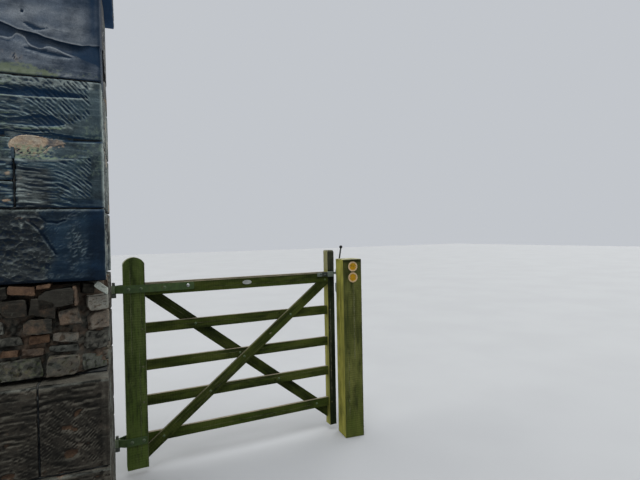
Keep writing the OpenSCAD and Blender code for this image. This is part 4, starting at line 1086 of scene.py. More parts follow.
build("pier_first_course_stones", Part.join(course(BED[5], BED[6], (-210, -210, 120, 34), first_relief, 12, fine=4.2, r=10) + [
    block((-40, -HALF, BED[5]), (232, -300, 2036), crumble, 34, step=(4.5, 12.0, 4.5), r=2.0, rvar=0.0, joint=0.0, bed=0.0, pull=60.0, roughen=0.4)]), "pier", "root", SOOTY, "pier_first_course")

s2 = [
    block((-8, -HALF, BED[4]), (HALF, 44, BED[5]), second_relief, 13, step=(9.0, 9.0, 4.2), xfine=(-60, HALF, 3.9)),
    block((-17, -HALF, 1908), (-3, -300, 1958), lambda p, z: (5.0 + 2.5 * n2(p, z, 20, 16, 132, 3), zero(p), {"dark": zero(p) + 0.3, "pale": zero(p) + 0.1}), 36,
          step=(4.0, 12.0, 4.0), r=2.0, rvar=0.0, joint=0.0, bed=0.0, pull=60.0, roughen=0.5),
    block((-40, -HALF, 1912), (232, -300, BED[5]), crumble, 35, step=(4.5, 12.0, 4.5), r=2.0, rvar=0.0, joint=0.0, bed=0.0, pull=60.0, roughen=0.4),
    block((-HALF, -HALF, BED[4]), (-8, 64, 1808), second_relief, 14, xfine=(-60, HALF, 3.9)),
    block((-HALF, -HALF, 1808), (-8, 64, BED[5]), second_relief, 15, xfine=(-60, HALF, 3.9)),
    block((-HALF, 64, BED[4]), (-8, HALF, BED[5]), second_relief, 16, step=(11.0, 11.0, 8.5)),
    block((-8, 44, BED[4]), (HALF, HALF, BED[5]), second_relief, 17, step=(11.0, 11.0, 8.5)),
]
build("pier_second_course_stones", Part.join(s2), "pier", "root", SOOTY, "pier_second_course")

build("pier_third_course_stones", Part.join(course(BED[3], BED[4], (-124, -124, 4, 66), third_relief, 18, fine=4.2)), "pier", "root", SOOTY, "pier_third_course")

coarse = dict(step=(11.0, 11.0, 8.5))
build("pier_lower_course_stones", Part.join(course(BED[1], BED[2], (60, 60, -60, 120), lower_relief, 19, **coarse)), "pier", "root", BROWN, "pier_lower_course")
build("pier_base_course_stones", Part.join(course(BED[0], BED[1], (-150, -150, 90, -40), lower_relief, 20, **coarse)), "pier", "root", BROWN, "pier_base_course")


# broken course: rubble and core where the dressed stones have gone from the front
def rock(cx, cy, cz, sx, sy, sz, seed, tilt=0.0, turn=0.0, step=6.0, rough=1.0, warm=0.3, algae=0.1, pale=0.1, dark=0.0, r=None):
    """An irregular, angular rubble stone."""
    lo, hi = np.array([-sx, -sy, -sz]) / 2, np.array([sx, sy, sz]) / 2
    r = min(9.0, min(sx, sy, sz) * 0.16) if r is None else r
    k = SCALE
    xs, ys, zs = ticks(lo[0], hi[0], step * k, r), ticks(lo[1], hi[1], 2.2 * step * k, r), ticks(lo[2], hi[2], step * k, r)
    ijk, quads, rings = lattice((len(xs), len(ys), len(zs)), 3, [(1, 1)])
    P = np.stack([xs[ijk[:, 0]], ys[ijk[:, 1]], zs[ijk[:, 2]]], 1)
    rng = np.random.RandomState(seed)
    sk = rng.uniform(-0.13, 0.13, 8)
    Q, inward = rounded(P, lo, hi, r * (1.1 + 0.9 * fbm(P / 30.0, 2, seed)))
    # corners cut at random, so that no two outlines match
    for c in range(4):
        a = rng.uniform(0, 2 * math.pi)
        n = np.array([math.cos(a), 0, math.sin(a)])
        reach = abs(n[0]) * sx / 2 + abs(n[2]) * sz / 2
        lim = reach * rng.uniform(0.74, 0.95)
        over = np.maximum(0, Q @ n - lim)
        Q = Q - over[:, None] * n * 0.9
    Q = Q + np.stack([sk[0] * Q[:, 2] + sk[1] * Q[:, 1], sk[2] * Q[:, 0] + sk[3] * Q[:, 2], sk[4] * Q[:, 0] * 0.7], 1)
    face = np.abs(P[:, 1] - lo[1]) < r * 1.5
    d = rough * (6.0 * fbm(P / 52.0, 3, seed + 1) + 3.2 * fbm(P / np.array([22.0, 22.0, 9.0]), 4, seed + 2, 0.6) + 3.5)
    d = d + face * 5.0 * np.abs(fbm(P / np.array([60.0, 60.0, 24.0]), 2, seed + 3))
    Q = Q + inward * d[:, None]
    c, s = math.cos(math.radians(tilt)), math.sin(math.radians(tilt))
    Q = np.stack([Q[:, 0] * c - Q[:, 2] * s, Q[:, 1], Q[:, 0] * s + Q[:, 2] * c], 1)
    c, s = math.cos(math.radians(turn)), math.sin(math.radians(turn))
    Q = np.stack([Q[:, 0] * c - Q[:, 1] * s, Q[:, 0] * s + Q[:, 1] * c, Q[:, 2]], 1)
    Q = Q + np.array([cx, cy, cz])
    n = len(Q)
    wv = np.clip(warm + 0.35 * fbm(P / 40.0, 3, seed + 4), 0, 1.2)
    return Part(Q, quads, rings, {"warm": wv, "algae": np.full(n, algae), "pale": np.full(n, pale), "dark": np.full(n, dark)})


def core_shape(P):
    """Pulls the front of the core back, most at the right."""
    Q = P.copy()
    front = np.interp(P[:, 0], [-360, 210, 348, 360], [-300, -285, -180, -95]) + 30 * sm((P[:, 2] - 1300) / 30)
    t = (P[:, 1] + HALF) / (2 * HALF)
    Q[:, 1] = front + (HALF - front) * t
    return Q


def core_block(lo, hi, seed):
    xs = ticks(lo[0], hi[0], 14.0 * SCALE, 10)
    ys = ticks(lo[1], hi[1], 16.0 * SCALE, 10)
    zs = ticks(lo[2], hi[2], 13.0 * SCALE, 10)
    ijk, quads, rings = lattice((len(xs), len(ys), len(zs)), 3, [(2, 0), (2, 1), (0, 0), (1, 1)])
    P = np.stack([xs[ijk[:, 0]], ys[ijk[:, 1]], zs[ijk[:, 2]]], 1)
    Q, inward = rounded(P, lo, hi, 10)
    d = 10 * fbm(P / 60.0, 4, seed, 0.6) + 7 * fbm(P / 17.0, 3, seed + 1) + 12
    Q = core_shape(Q) + inward * np.maximum(d, 0)[:, None]
    n = len(P)
    w = 0.45 + 0.6 * fbm(P / 70.0, 3, seed + 2)
    return Part(Q, quads, rings, {"warm": w, "algae": np.full(n, 0.1), "pale": np.full(n, 0.1), "dark": np.full(n, 0.35)})


rubble = [core_block(np.array([-350.0, -HALF, BED[2] + 3]), np.array([348.0, 348.0, BED[3] - 3]), 90)]
# dressed stones that are left at the rear and the left
rear = dict(step=(12.5, 12.5, 9.5))
rubble += [
    block((-HALF, 40, BED[2]), (-20, HALF, 1110), lower_relief, 91, **rear),
    block((-20, 100, BED[2]), (HALF, HALF, 1110), lower_relief, 92, **rear),
    block((-HALF, 90, 1110), (70, HALF, BED[3]), lower_relief, 93, **rear),
    block((70, 10, 1110), (HALF, HALF, BED[3]), lower_relief, 94, **rear),
]
# the stones seen under the third course: x, y, z, size x, y, z, tilt, turn, warm, algae, pale, dark
STONES = [
    (6, -308, 1311, 116, 120, 44, -3, 0, 1.1, 0.0, 0.0, 0.0), (-88, -300, 1300, 78, 110, 64, 3, 3, 0.2, 0.1, 0.0, 0.4),
    (94, -304, 1325, 66, 100, 25, 3, 2, 1.0, 0.0, 0.0, 0.0), (142, -296, 1268, 150, 130, 88, 3, -3, 0.05, 0.1, 0.05, 0.55),
    (221, -288, 1276, 22, 112, 100, 1, -3, 0.95, 0.1, 0.1, 0.0),
    (268, -262, 1302, 60, 90, 58, -5, 8, 0.0, 0.2, 0.0, 0.8), (334, -288, 1301, 84, 90, 38, -44, 10, 0.0, 0.05, 1.6, 0.0),
    (306, -222, 1226, 110, 116, 80, -4, 22, 0.75, 0.1, 0.6, 0.0), (300, -180, 1136, 122, 130, 92, 3, 26, 0.7, 0.2, 0.3, 0.0),
    (88, -302, 1226, 112, 120, 88, -9, 3, 0.35, 0.15, 0.0, 0.3), (-24, -306, 1232, 104, 110, 84, 4, -2, 0.3, 0.15, 0.0, 0.3),
    (192, -284, 1176, 104, 110, 84, 6, 5, 0.5, 0.2, 0.1, 0.1), (70, -306, 1144, 132, 116, 74, 2, 2, 0.4, 0.2, 0.05, 0.2),
]
for n, (x, y, z, sx, sy, sz, tilt, turn, warm, algae, pale, dark) in enumerate(STONES):
    rubble.append(rock(x, y, z, sx, sy, sz, 300 + 7 * n, tilt, turn, step=7.9, warm=warm, algae=algae, pale=pale, dark=dark))

# the rest of the broken face in uneven rows: face, start and end along it, and where it lies
rng = np.random.RandomState(77)
FACES = [
    ("front", -352.0, -122.0, 1338.0, 1186.0), ("front", -352.0, -66.0, 1186.0, 1106.0), ("front", -352.0, 236.0, 1106.0, 884.0),
    ("corner", -10.0, 190.0, 1090.0, 884.0), ("right", -150.0, 12.0, 1336.0, 1098.0), ("right", -190.0, 96.0, 1098.0, 884.0), ("left", -262.0, 38.0, 1336.0, 884.0),
]
for face, u0, u1, z1, z0 in FACES:
    z = z1
    while z > z0 + 20:
        h = min(rng.uniform(46, 112), z - z0)
        if z - h - z0 < 40:
            h = z - z0
        u = u0
        while u < u1 - 20:
            w = min(rng.uniform(70, 190) * (0.7 + h / 160.0), u1 - u)
            if u1 - u - w < 50:
                w = u1 - u
            c, zc = u + w / 2, z - h / 2
            dep = rng.uniform(-9, 6)
            if face == "front":
                at, size, turn = (c, -252.0 - max(0.0, c - 100) * -0.1 + dep, zc), (w - 9, 112, h - 9), rng.uniform(-4, 4)
            elif face == "corner":
                f = (c + 10.0) / 200.0
                at, size, turn = (262.0 + 46 * f, -224.0 + 120 * f + dep * 0.5, zc), (w * 0.95, 104, h - 9), 38 + rng.uniform(-6, 6)
            elif face == "right":
                at, size, turn = (302.0 + dep * 0.5, c, zc), (w - 9, 104, h - 9), 90 + rng.uniform(-3, 3)
            else:
                at, size, turn = (-306.0 - dep * 0.5, c, zc), (w - 9, 104, h - 9), -90 + rng.uniform(-3, 3)
            rubble.append(rock(*at, *size, rng.randint(10**6), rng.uniform(-3.5, 3.5), turn, step=12.0, rough=1.25, warm=rng.choice([0.05, 0.3, 0.55, 0.8]),
                               algae=0.12 + 0.25 * (zc < 1000), pale=rng.choice([0.0, 0.1, 0.3]), dark=rng.choice([0.0, 0.2, 0.4])))
            u += w
        z -= h
for q in rubble:
    q.V[:, 0] = np.clip(q.V[:, 0], -359.0, 359.0)
    q.V[:, 1] = np.clip(q.V[:, 1], -352.0, 359.0)
    q.V[:, 2] = np.clip(q.V[:, 2], BED[2] + 1.0, BED[3] - 1.0)
build("pier_broken_course_rubble", Part.join(rubble), "pier", "root", BROWN, "pier_broken_course")


# mortar in the beds and upright joints
def slab(lo, hi, seed, step=18.0):
    thin = int(np.argmin(np.subtract(hi, lo)))
    xs, ys = ticks(lo[0], hi[0], step * SCALE, 4), ticks(lo[1], hi[1], step * SCALE, 4)
    zs = np.linspace(lo[2], hi[2], max(3, int((hi[2] - lo[2]) / step) + 2))
    ijk, quads, rings = lattice((len(xs), len(ys), len(zs)), 2, [(2, 0), (2, 1), (thin, 0), (thin, 1)])
    P = np.stack([xs[ijk[:, 0]], ys[ijk[:, 1]], zs[ijk[:, 2]]], 1)
    d = 5 * fbm(P / 22.0, 4, seed, 0.6) + 3
    near_lo = (P - lo) < (np.asarray(hi) - P)
    a = np.where(near_lo, P - lo, np.asarray(hi) - P)
    for axis in (0, 1):
        on = a[:, axis] < 12
        P[:, axis] += np.where(on, np.where(near_lo[:, axis], 1, -1) * d * (1 - a[:, axis] / 12.0), 0)
    n = len(P)
    return Part(P, quads, rings, {"warm": np.full(n, 0.1), "algae": np.full(n, 0.15), "pale": np.zeros(n)})


m = HALF - 13.0
mortar = [slab((-m, -m, z - 5.5), (m, m, z + 5.5), 400 + i) for i, z in enumerate([BED[1], BED[4], BED[5], BED[6]])]
mortar.append(slab((-m, -240, BED[2] - 5.5), (m, m, BED[2] + 5.5), 410))
mortar.append(slab((-m, -250, BED[3] - 5.5), (240, m, BED[3] + 5.5), 411))
mortar.append(slab((-m, -m, BED[7] - 5.5), (m, m, BED[7] + 4.5), 412))
for i, (z0, z1, xf, xb, yl, yr) in enumerate((
        (BED[5], BED[6], -210, -210, 120, 34), (BED[3], BED[4], -124, -124, 4, 66), (BED[1], BED[2], 60, 60, -60, 120),
        (BED[0], BED[1], -150, -150, 90, -40), (BED[4], BED[5], -8, -8, 64, 44))):
    mortar.append(slab((xf - 6, -m, z0 + 6), (xf + 6, 0, z1 - 6), 420 + i))
    mortar.append(slab((xb - 6, 0, z0 + 6), (xb + 6, m, z1 - 6), 430 + i))
    mortar.append(slab((-m, yl - 6, z0 + 6), (xf - 6, yl + 6, z1 - 6), 440 + i))
    mortar.append(slab((xf + 6, yr - 6, z0 + 6), (m, yr + 6, z1 - 6), 450 + i))
mortar.append(slab((-m, -m, 1802), (-14, 58, 1814), 460))
build("pier_mortar", Part.join(mortar), "pier", "root", MORTAR)


# capstone
def cap_relief(seed, z0, z1, deep):
    def f(p, z):
        half8 = 8 * (410 if z0 < 2990 else 370)
        q = p / half8 * 8  # 0..2 is the front, 2..4 the right side
        front = sm((1.98 - q) / 0.03)
        d = deep + 2.5 * n2(p, z, 130, 60, seed, 3) + 3.5 * fissures(p, z, 28, seed + 1, 0.0) + 2.2 * n2(p, z, 24, 14, seed + 5, 3)
        pits = sm((n2(p, z, 26, 16, seed + 2, 3) - 0.30) / 0.15)
        d = np.maximum(d + 4.5 * pits, 0.3)
        t = (z - z0) / (z1 - z0)
        warm = 0.6 * sm((0.22 - t) / 0.2) * sm(-0.1 + 2.2 * n2(p, z, 110, 40, seed + 3, 3)) * (1 - 0.8 * front)
        algae = (0.6 * sm((0.3 - t) / 0.3) * sm(0.1 + 2.0 * n2(p, z, 140, 60, seed + 4, 3)) + 0.3 * sm((t - 0.85) / 0.1)) * (1 - 0.5 * front)
        pale = 0.5 * bump(z - z1 + 5, 6) + 0.35 * bump(z - z0 - 5, 6) + 0.25 * sm(1.8 * n2(p, z, 200, 24, seed + 6, 3))
        dark = 0.35 * sm(0.2 + 2.0 * n2(p, z, 240, 60, seed + 7, 3))
        # the underside is painted shade: fully dark in the blue deep colour, with no warm, algae, pale or brown
        under = np.where(t < 0.004, 1.0, 0.0)
        return d, zero(p), {"warm": warm * (1 - under), "algae": algae * (1 - under), "dark": np.maximum(dark, under), "pale": pale * (1 - under),
                            "brown": (0.55 + 0.3 * n2(p, z, 300, 200, seed + 8, 2)) * (1 - under)}
    return f


build("cap_slab_stone", block((-410, -410, 2850), (410, 410, 3000), cap_relief(501, 2850, 3000, 3.0), 21, half=410.0, step=(11, 11, 7.5), r=9, bed=0.5, rim=7),
      "pier", "root", CAPPED, "cap_slab")
build("cap_step_stone", block((-370, -370, 3000), (370, 370, 3100), cap_relief(511, 3000, 3100, 3.0), 22, half=370.0, step=(11, 11, 7.5), r=9, bed=0.5, rim=6),
      "pier", "root", CAPPED, "cap_step")


def crown():
    lo, hi = np.array([-330.0, -330.0, 3100.5]), np.array([330.0, 330.0, 3309.0])
    xs = ticks(-330, 330, 13 * SCALE, 9)
    zs = np.concatenate([[3100.5, 3103, 3108], np.linspace(3114, 3130, 3)])
    ijk, quads, rings = lattice((len(xs), len(xs), len(zs)))
    P = np.stack([xs[ijk[:, 0]], xs[ijk[:, 1]], zs[ijk[:, 2]]], 1)
    e = np.maximum(np.abs(P[:, 0]), np.abs(P[:, 1]))
    top = 3130 + (3306 - 3130) * np.clip((330 - e) / 270.0, 0, 1)
    t = (P[:, 2] - 3100.5) / (3130 - 3100.5)
    P[:, 2] = 3100.5 + t * (top - 3100.5)
    Q = P.copy()
    out = np.where(np.abs(P[:, :2]) > 329, np.sign(P[:, :2]), 0)
    d = 4.0 + 3.0 * fbm(P / 90.0, 3, 521) + 2.2 * fbm(P / 20.0, 3, 522)
    Q[:, :2] -= out * np.clip(d, 0, 12)[:, None]
    Q[:, 2] -= np.where(t > 0.97, np.clip(d, 0, 12), 0)
    n = len(P)
    alg = 0.35 + 0.7 * fbm(P / 110.0, 3, 523)
    return Part(Q, quads, rings, {"warm": np.zeros(n), "algae": alg, "pale": np.full(n, 0.1), "brown": 0.5 + 0.4 * fbm(P / 200.0, 2, 524)})


build("cap_crown_stone", crown(), "pier", "root", CAPPED, "cap_crown")


# ---------------------------------------------------------------- timber
def timber(name, node, body, group, material, size, place, seed, step=(11.0, 3.2, 3.4), r=2.6, cracks=(), saw=0.0,
           knots=(), algae=None, bleach=None, stain=None, shape=None, ends=True, sawn=None, fresh=None):
    """One sawn member: s along it, a across its face, b through it, in mm. place(S, A, B) puts it in its group.
    cracks = (side, a or b, s0, s1, depth, width, wander), knots = (side, s, a, size, depth)."""
    L, W, T = size
    k = SCALE
    ss, as_, bs = ticks(0, L, step[0] * k, r), ticks(0, W, step[1] * k, r), ticks(0, T, step[2] * k, r)
    extra_a = [c[1] + o for c in cracks if c[0] in "fr" for o in (-3.2, -1.5, -0.6, 0.6, 1.5, 3.2)]
    extra_b = [c[1] + o for c in cracks if c[0] in "lu" for o in (-3.2, -1.5, -0.6, 0.6, 1.5, 3.2)]

    def add(base, extra):
        allv = sorted(list(base) + [e for e in extra if base[3] < e < base[-4]])
        out = [allv[0]]
        for v in allv[1:]:
            if v - out[-1] > 0.45 or v == allv[-1]:
                out.append(v)
        return np.array(out)

    as_, bs = add(as_, extra_a), add(bs, extra_b)
    ijk, quads, rings = lattice((len(ss), len(as_), len(bs)))
    P = np.stack([ss[ijk[:, 0]], as_[ijk[:, 1]], bs[ijk[:, 2]]], 1)
    s0 = P[:, 0].copy()
    # the grid follows each crack's wandering line
    for side, at, c0, c1, depth, width, wander in cracks:
        ax = 1 if side in "fr" else 2
        path = wander * fbm(np.stack([s0 / 130.0, np.full(len(P), at * 0.1), np.full(len(P), seed * 0.3)], 1), 3, seed + int(at))
        fall = sm(1 - np.abs(P[:, ax] - at) / 14.0)
        lim = size[ax]
        inner = sm(P[:, ax] / 10.0) * sm((lim - P[:, ax]) / 10.0)
        P[:, ax] += path * fall * inner
    base = P.copy()
    rr = r * (0.75 + 0.6 * fbm(base / np.array([160.0, 30.0, 30.0]), 3, seed + 3)) + 5.0 * np.maximum(0, noise(base / np.array([70.0, 22.0, 22.0]), seed + 4) - 0.42)
    Q, inward = rounded(P, (0, 0, 0), (L, W, T), np.maximum(rr, 0.8))
    G = base / np.array([130.0, 4.2, 4.2])
    d = 0.42 * fbm(G, 3, seed) + 0.30 * np.abs(noise(base / np.array([260.0, 9.0, 9.0]), seed + 1)) + 0.45
    d = d + 0.9 * fbm(base / np.array([420.0, 90.0, 90.0]), 2, seed + 2)
    if saw:
        t = (base[:, 0] - 0.3 * base[:, 2]) / 16.5 + 0.4 * noise(base / 60.0, seed + 8)
        d = d + saw * (0.5 + 0.5 * np.sin(2 * np.pi * t)) * sm(0.5 + 1.5 * noise(base / 110.0, seed + 7))
    flat = np.abs(inward)
    for side, at, c0, c1, depth, width, wander in cracks:
        ax, other = (1, 2) if side in "fr" else (2, 1)
        # f = low b, r = high b, l = low a, u = high a
        on = (base[:, other] < 1.0) if side in "fl" else (base[:, other] > size[other] - 1.0)
        centre = at + wander * 0  # the grid has been moved, so the crack is at its own column
        col = (as_ if ax == 1 else bs)[ijk[:, ax]]
        prof = np.exp(-(((col - centre) / width) ** 2))
        taper = sm((s0 - c0) / 60.0) * sm((c1 - s0) / 60.0)
        d = d + np.where(on, depth * prof * taper * (0.75 + 0.5 * noise(np.stack([s0 / 45.0, zero(s0), zero(s0)], 1), seed + 11)), 0)
    for side, ks, ka, size_k, depth in knots:
        other = 2
        on = (base[:, 2] < 1.0) if side == "f" else (base[:, 2] > T - 1.0)
        q = np.hypot((base[:, 0] - ks) / (size_k * 1.3), (base[:, 1] - ka) / size_k)
        d = d + np.where(on, depth * (1 - sm((q - 0.4) / 0.6)), 0)
    endf = np.minimum(s0, L - s0) < 0.5
    if ends:
        d = d + np.where(endf, 1.2 * np.abs(fbm(base / 6.0, 3, seed + 13)), 0)
    Q = Q + inward * d[:, None]
    X, Y, Z = place(Q[:, 0], Q[:, 1], Q[:, 2])
    V = np.stack([X, Y, Z], 1)
    if shape is not None:
        V = shape(V)
    n = len(V)
    attrs = {"grain": np.stack([base[:, 0] + 3000 * (seed % 7), base[:, 1] + 311 * (seed % 5), base[:, 2]], 1) / 1000.0}
    attrs["algae"] = np.full(n, 0.15) if algae is None else algae(V)
    attrs["bleach"] = zero(V) if bleach is None else bleach(V, base)
    attrs["stain"] = zero(V) if stain is None else stain(V)
    attrs["sawn"] = np.full(n, 0.22) if sawn is None else sawn(V)
    attrs["fresh"] = zero(V) if fresh is None else fresh(V)
    attrs["aged"] = 0.8 * sm((base[:, 2] - T + 7) / 6)
    if W < L and abs(X[-1] - X[0]) < 400:  # an upright
        attrs["aged"] = np.maximum(attrs["aged"], 0.8 * sm((base[:, 1] - W + 7) / 6))
    part = Part(V, quads, rings, attrs)
    return build(name, part, group, body, material, node, rounds=(2, 9))


def upward(z_top, width):
    return lambda V, base: sm((V[:, 2] - z_top + width) / width)


# latch post: s up, a along its front, b from front to rear
def post_shape(V):
    """A slight bevel round the sawn top."""
    c = np.array([75.0, -75.0])
    e = 75 - np.maximum(np.abs(V[:, 0] - c[0]), np.abs(V[:, 1] - c[1]))
    V[:, 2] = np.minimum(V[:, 2], 1350 - 7 + np.minimum(e, 7))
    return V


timber(
    "latch_post_timber", "latch_post", "root", "post", POST, (1350, 150, 150),
    lambda s, a, b: (a, b - 150, s), 601, step=(14.5, 4.8, 4.8), r=3.0, saw=0.55,
    cracks=(("f", 84, 560, 1190, 4.5, 1.5, 7), ("f", 38, 120, 700, 3.0, 1.2, 6), ("l", 62, 500, 1346, 3.0, 1.1, 5), ("l", 104, 40, 640, 3.2, 1.2, 5),
            ("u", 70, 200, 1240, 4.0, 1.4, 7), ("r", 100, 100, 1010, 3.5, 1.3, 6)),
    algae=lambda V: 0.05 + 0.35 * sm((420 - V[:, 2]) / 420) + 0.25 * bump(V[:, 1] + 150, 4) * sm((900 - V[:, 2]) / 700),
    bleach=lambda V, b: 0.9 * sm((V[:, 2] - 1341) / 8) + 0.3 * sm((8 - V[:, 0]) / 8) * bump(V[:, 1] + 146, 7),
    # the post's front face darker, most near the top: painted shade
    stain=lambda V: (0.36 + 0.22 * sm((V[:, 2] - 1190) / 50)) * sm((-144 - V[:, 1]) / 4) + 0.4 * bump(V[:, 2] - 1334, 8) * sm((-142 - V[:, 1]) / 6),
    sawn=lambda V: np.where(V[:, 1] < -145, 0.2, 1.0),
    # painted light on the post's left face, with its sawn colour
    fresh=lambda V: 0.9 * sm((2.6 - V[:, 0]) / 2.0) * sm((V[:, 1] + 149.5) / 3),
    shape=post_shape)


# hanging stile with its arched top
def heel_shape(V):
    r = (65.0**2 + 42.0**2) / (2 * 42.0)
    x = np.clip(V[:, 0], 0, 130) - 65
    arc = 1415 - r + np.sqrt(np.maximum(r * r - x * x, 0))
    t = np.clip((V[:, 2] - 1250) / (1415 - 1250), 0, 1.01)
    V[:, 2] = np.where(V[:, 2] > 1250, 1250 + t * (arc - 1250), V[:, 2])
    return V


timber(
    "heel_stile_timber", "heel_stile", "gate", "gate", HEEL, (1370, 130, 70),
    lambda s, a, b: (a, b, s + 45), 611, step=(14.5, 4.2, 4.5), r=3.2, saw=0.2,
    cracks=(("f", 42, 700, 1330, 3.2, 1.2, 6), ("f", 88, 60, 820, 3.2, 1.3, 7), ("f", 104, 900, 1345, 2.2, 1.0, 4), ("r", 60, 300, 1200, 4.0, 1.4, 8), ("u", 30, 80, 700, 3.0, 1.2, 4)),
    algae=lambda V: 0.28 + 0.35 * sm((700 - V[:, 2]) / 600),
    bleach=lambda V, b: 0.75 * sm((b[:, 0] - 1366) / 4), shape=heel_shape)


# latching stile with bevelled top corners
def head_shape(V):
    x = V[:, 0]
    off = np.clip(x - 1503, 0, 21.9)
    cap = np.minimum(np.minimum(1415, 1415 - 8 + (x - 1468)), 1415 - 22 + np.sqrt(22**2 - off**2))
    V[:, 2] = np.where(V[:, 2] > 1380, np.minimum(V[:, 2], cap), V[:, 2])
    return V


timber(
    "head_stile_timber", "head_stile", "gate", "gate", HEAD, (1370, 57, 70),
    lambda s, a, b: (a + 1468, b, s + 45), 621, step=(13, 3.6, 4.2), r=3.0, saw=0.25,
    cracks=(("f", 18, 200, 1010, 3.4, 1.2, 5), ("f", 38, 720, 1340, 2.4, 1.0, 4), ("l", 36, 160, 1250, 3.6, 1.3, 6), ("r", 30, 100, 1100, 3.2, 1.2, 6)),
    knots=(("f", 763, 8.0, 6.0, 10.0),),
    algae=lambda V: 0.15 + 0.25 * sm((1474 - V[:, 0]) / 6) + 0.2 * sm((500 - V[:, 2]) / 400),
    # the top is partly a painted highlight, the strip on the left face painted light
    bleach=lambda V, b: 0.8 * sm((b[:, 0] - 1363) / 6) + 0.45 * sm((1470 - V[:, 0]) / 2) + 0.30 * sm((V[:, 2] - 1250) / 12),
    # painted light on the head stile's left face
    fresh=lambda V: 0.62 * sm((1471.5 - V[:, 0]) / 2.5) * sm((V[:, 1] - 0.5) / 2) * (1 - 0.6 * sm((V[:, 2] - 1250) / 10)),
    stain=lambda V: 0.95 * bump(np.hypot(V[:, 0] - 1476, V[:, 2] - 808), 7) * (V[:, 1] < 12), shape=head_shape)

TEN0, TEN1 = 70.0, 1504.0


def top_shape(V):
    """Bevels along the upper arrises."""
    z, y = V[:, 2], V[:, 1]
    cap = 1246 - 8 + np.minimum(np.minimum(y, 70 - y), 8)
    V[:, 2] = np.minimum(z, cap)
    return V


timber(
    "top_rail_timber", "top_rail", "gate", "gate", RAIL, (1340, 80, 70),
    lambda s, a, b: (s + 129, b, a + 1166), 631, step=(14, 3.7, 4.2), r=2.2,
    cracks=(("f", 28, 420, 1180, 2.6, 1.1, 5), ("u", 36, 100, 900, 3.4, 1.3, 6), ("u", 22, 700, 1330, 2.6, 1.1, 4), ("r", 44, 200, 1100, 3.2, 1.2, 7)),
    algae=lambda V: 0.30 + 0.2 * n2(V[:, 0], V[:, 2], 200, 60, 632, 2),
    # the pale bevelled top is partly a painted highlight
    bleach=lambda V, b: 0.85 * sm((V[:, 2] - 1236) / 3),
    # a painted shadow line under the top bevel on the front
    stain=lambda V: 0.85 * bump(V[:, 2] - 1231, 4.5) * sm(0.55 + 1.2 * n2(V[:, 0], V[:, 2], 130, 30, 634, 2)) * (V[:, 1] < 30), shape=top_shape)

RAILS = (("second_rail", 913.5, 641), ("third_rail", 669.5, 651), ("fourth_rail", 437.5, 661), ("bottom_rail", 192.5, 671))
for node, z0, seed in RAILS:
    rng = np.random.RandomState(seed)
    c = []
    for j in range(3):
        st = rng.uniform(40, 900)
        c.append(("f" if j < 2 else "r", rng.uniform(14, 55), st, st + rng.uniform(260, 620), rng.uniform(1.8, 3.0), 1.1, 5))
    timber(
        node + "_timber", node, "gate", "gate", RAIL, (TEN1 - TEN0, 69, 22),
        lambda s, a, b, z0=z0: (s + TEN0, b + 24, a + z0), seed, step=(14.5, 3.8, 4.4), r=2.0, cracks=tuple(c),
        knots=(("f", rng.uniform(200, 1200), rng.uniform(20, 50), 9, -0.8),),
        algae=lambda V, z0=z0, seed=seed: 0.22 + 0.25 * n2(V[:, 0], V[:, 2], 180, 60, seed + 1, 2) + 0.25 * sm((450 - z0) / 250),
        # the pale top face is partly a painted highlight
        bleach=lambda V, b, z0=z0: 0.85 * sm((V[:, 2] - z0 - 66.3) / 2.2))


def brace(name, node, seed, z_in, z_out, width, y0, y1, mat):
    """A brace between the stiles, cut to their sides and to the top rail."""
    dx = 1468.0 - 130.0
    ln = math.hypot(dx, z_out - z_in)
    c, s_ = dx / ln, (z_out - z_in) / ln
    over = 60.0

    def place(s, a, b):
        s = s - over
        a = a - width / 2
        # the ends follow the stiles' upright sides
        X = 130 + s * c - a * s_
        Z = z_in + s * s_ + a * c
        return X, b + y0, Z

    def shape(V):
        X, Z = V[:, 0].copy(), V[:, 2].copy()
        for lim, sgn in ((129.0, -1), (1469.0, 1)):
            off = (X - lim) * sgn
            past = off > 0
            t = (X - lim) / c
            Z = np.where(past, Z - t * s_, Z)
            X = np.where(past, lim + 0.001 * off * sgn, X)
        V[:, 0] = X
        V[:, 2] = np.minimum(Z, 1234.0)
        return V

    rng = np.random.RandomState(seed)
    cr = []
    for j in range(4):
        st = rng.uniform(100, ln - 500)
        cr.append(("f" if j < 3 else "r", rng.uniform(12, width - 12), st, st + rng.uniform(260, 600), rng.uniform(1.8, 3.2), 1.1, 5))
    return timber(
        name, node, "gate", "gate", mat, (ln + 2 * over, width, y1 - y0), place, seed, step=(14.5, 3.9, 4.4), r=2.0, cracks=tuple(cr), shape=shape,
        knots=(("f", over + (ln if z_out > z_in else ln) * 0.643, width / 2, 8, 1.2),) if y0 < 10 else (),
        algae=lambda V: 0.18 + 0.25 * n2(V[:, 0], V[:, 2], 160, 80, seed + 1, 2),
        # the pale upper face is partly a painted highlight
        bleach=lambda V, b: 0.5 * sm((b[:, 1] - width + 2.4) / 2.2))


brace("front_brace_timber", "front_brace", 681, 152.0, 1197.0, 70.0, 2.0, 24.0, RAIL)
brace("rear_brace_timber", "rear_brace", 691, 1203.0, 146.0, 76.0, 46.0, 68.0, DIM_RAIL)


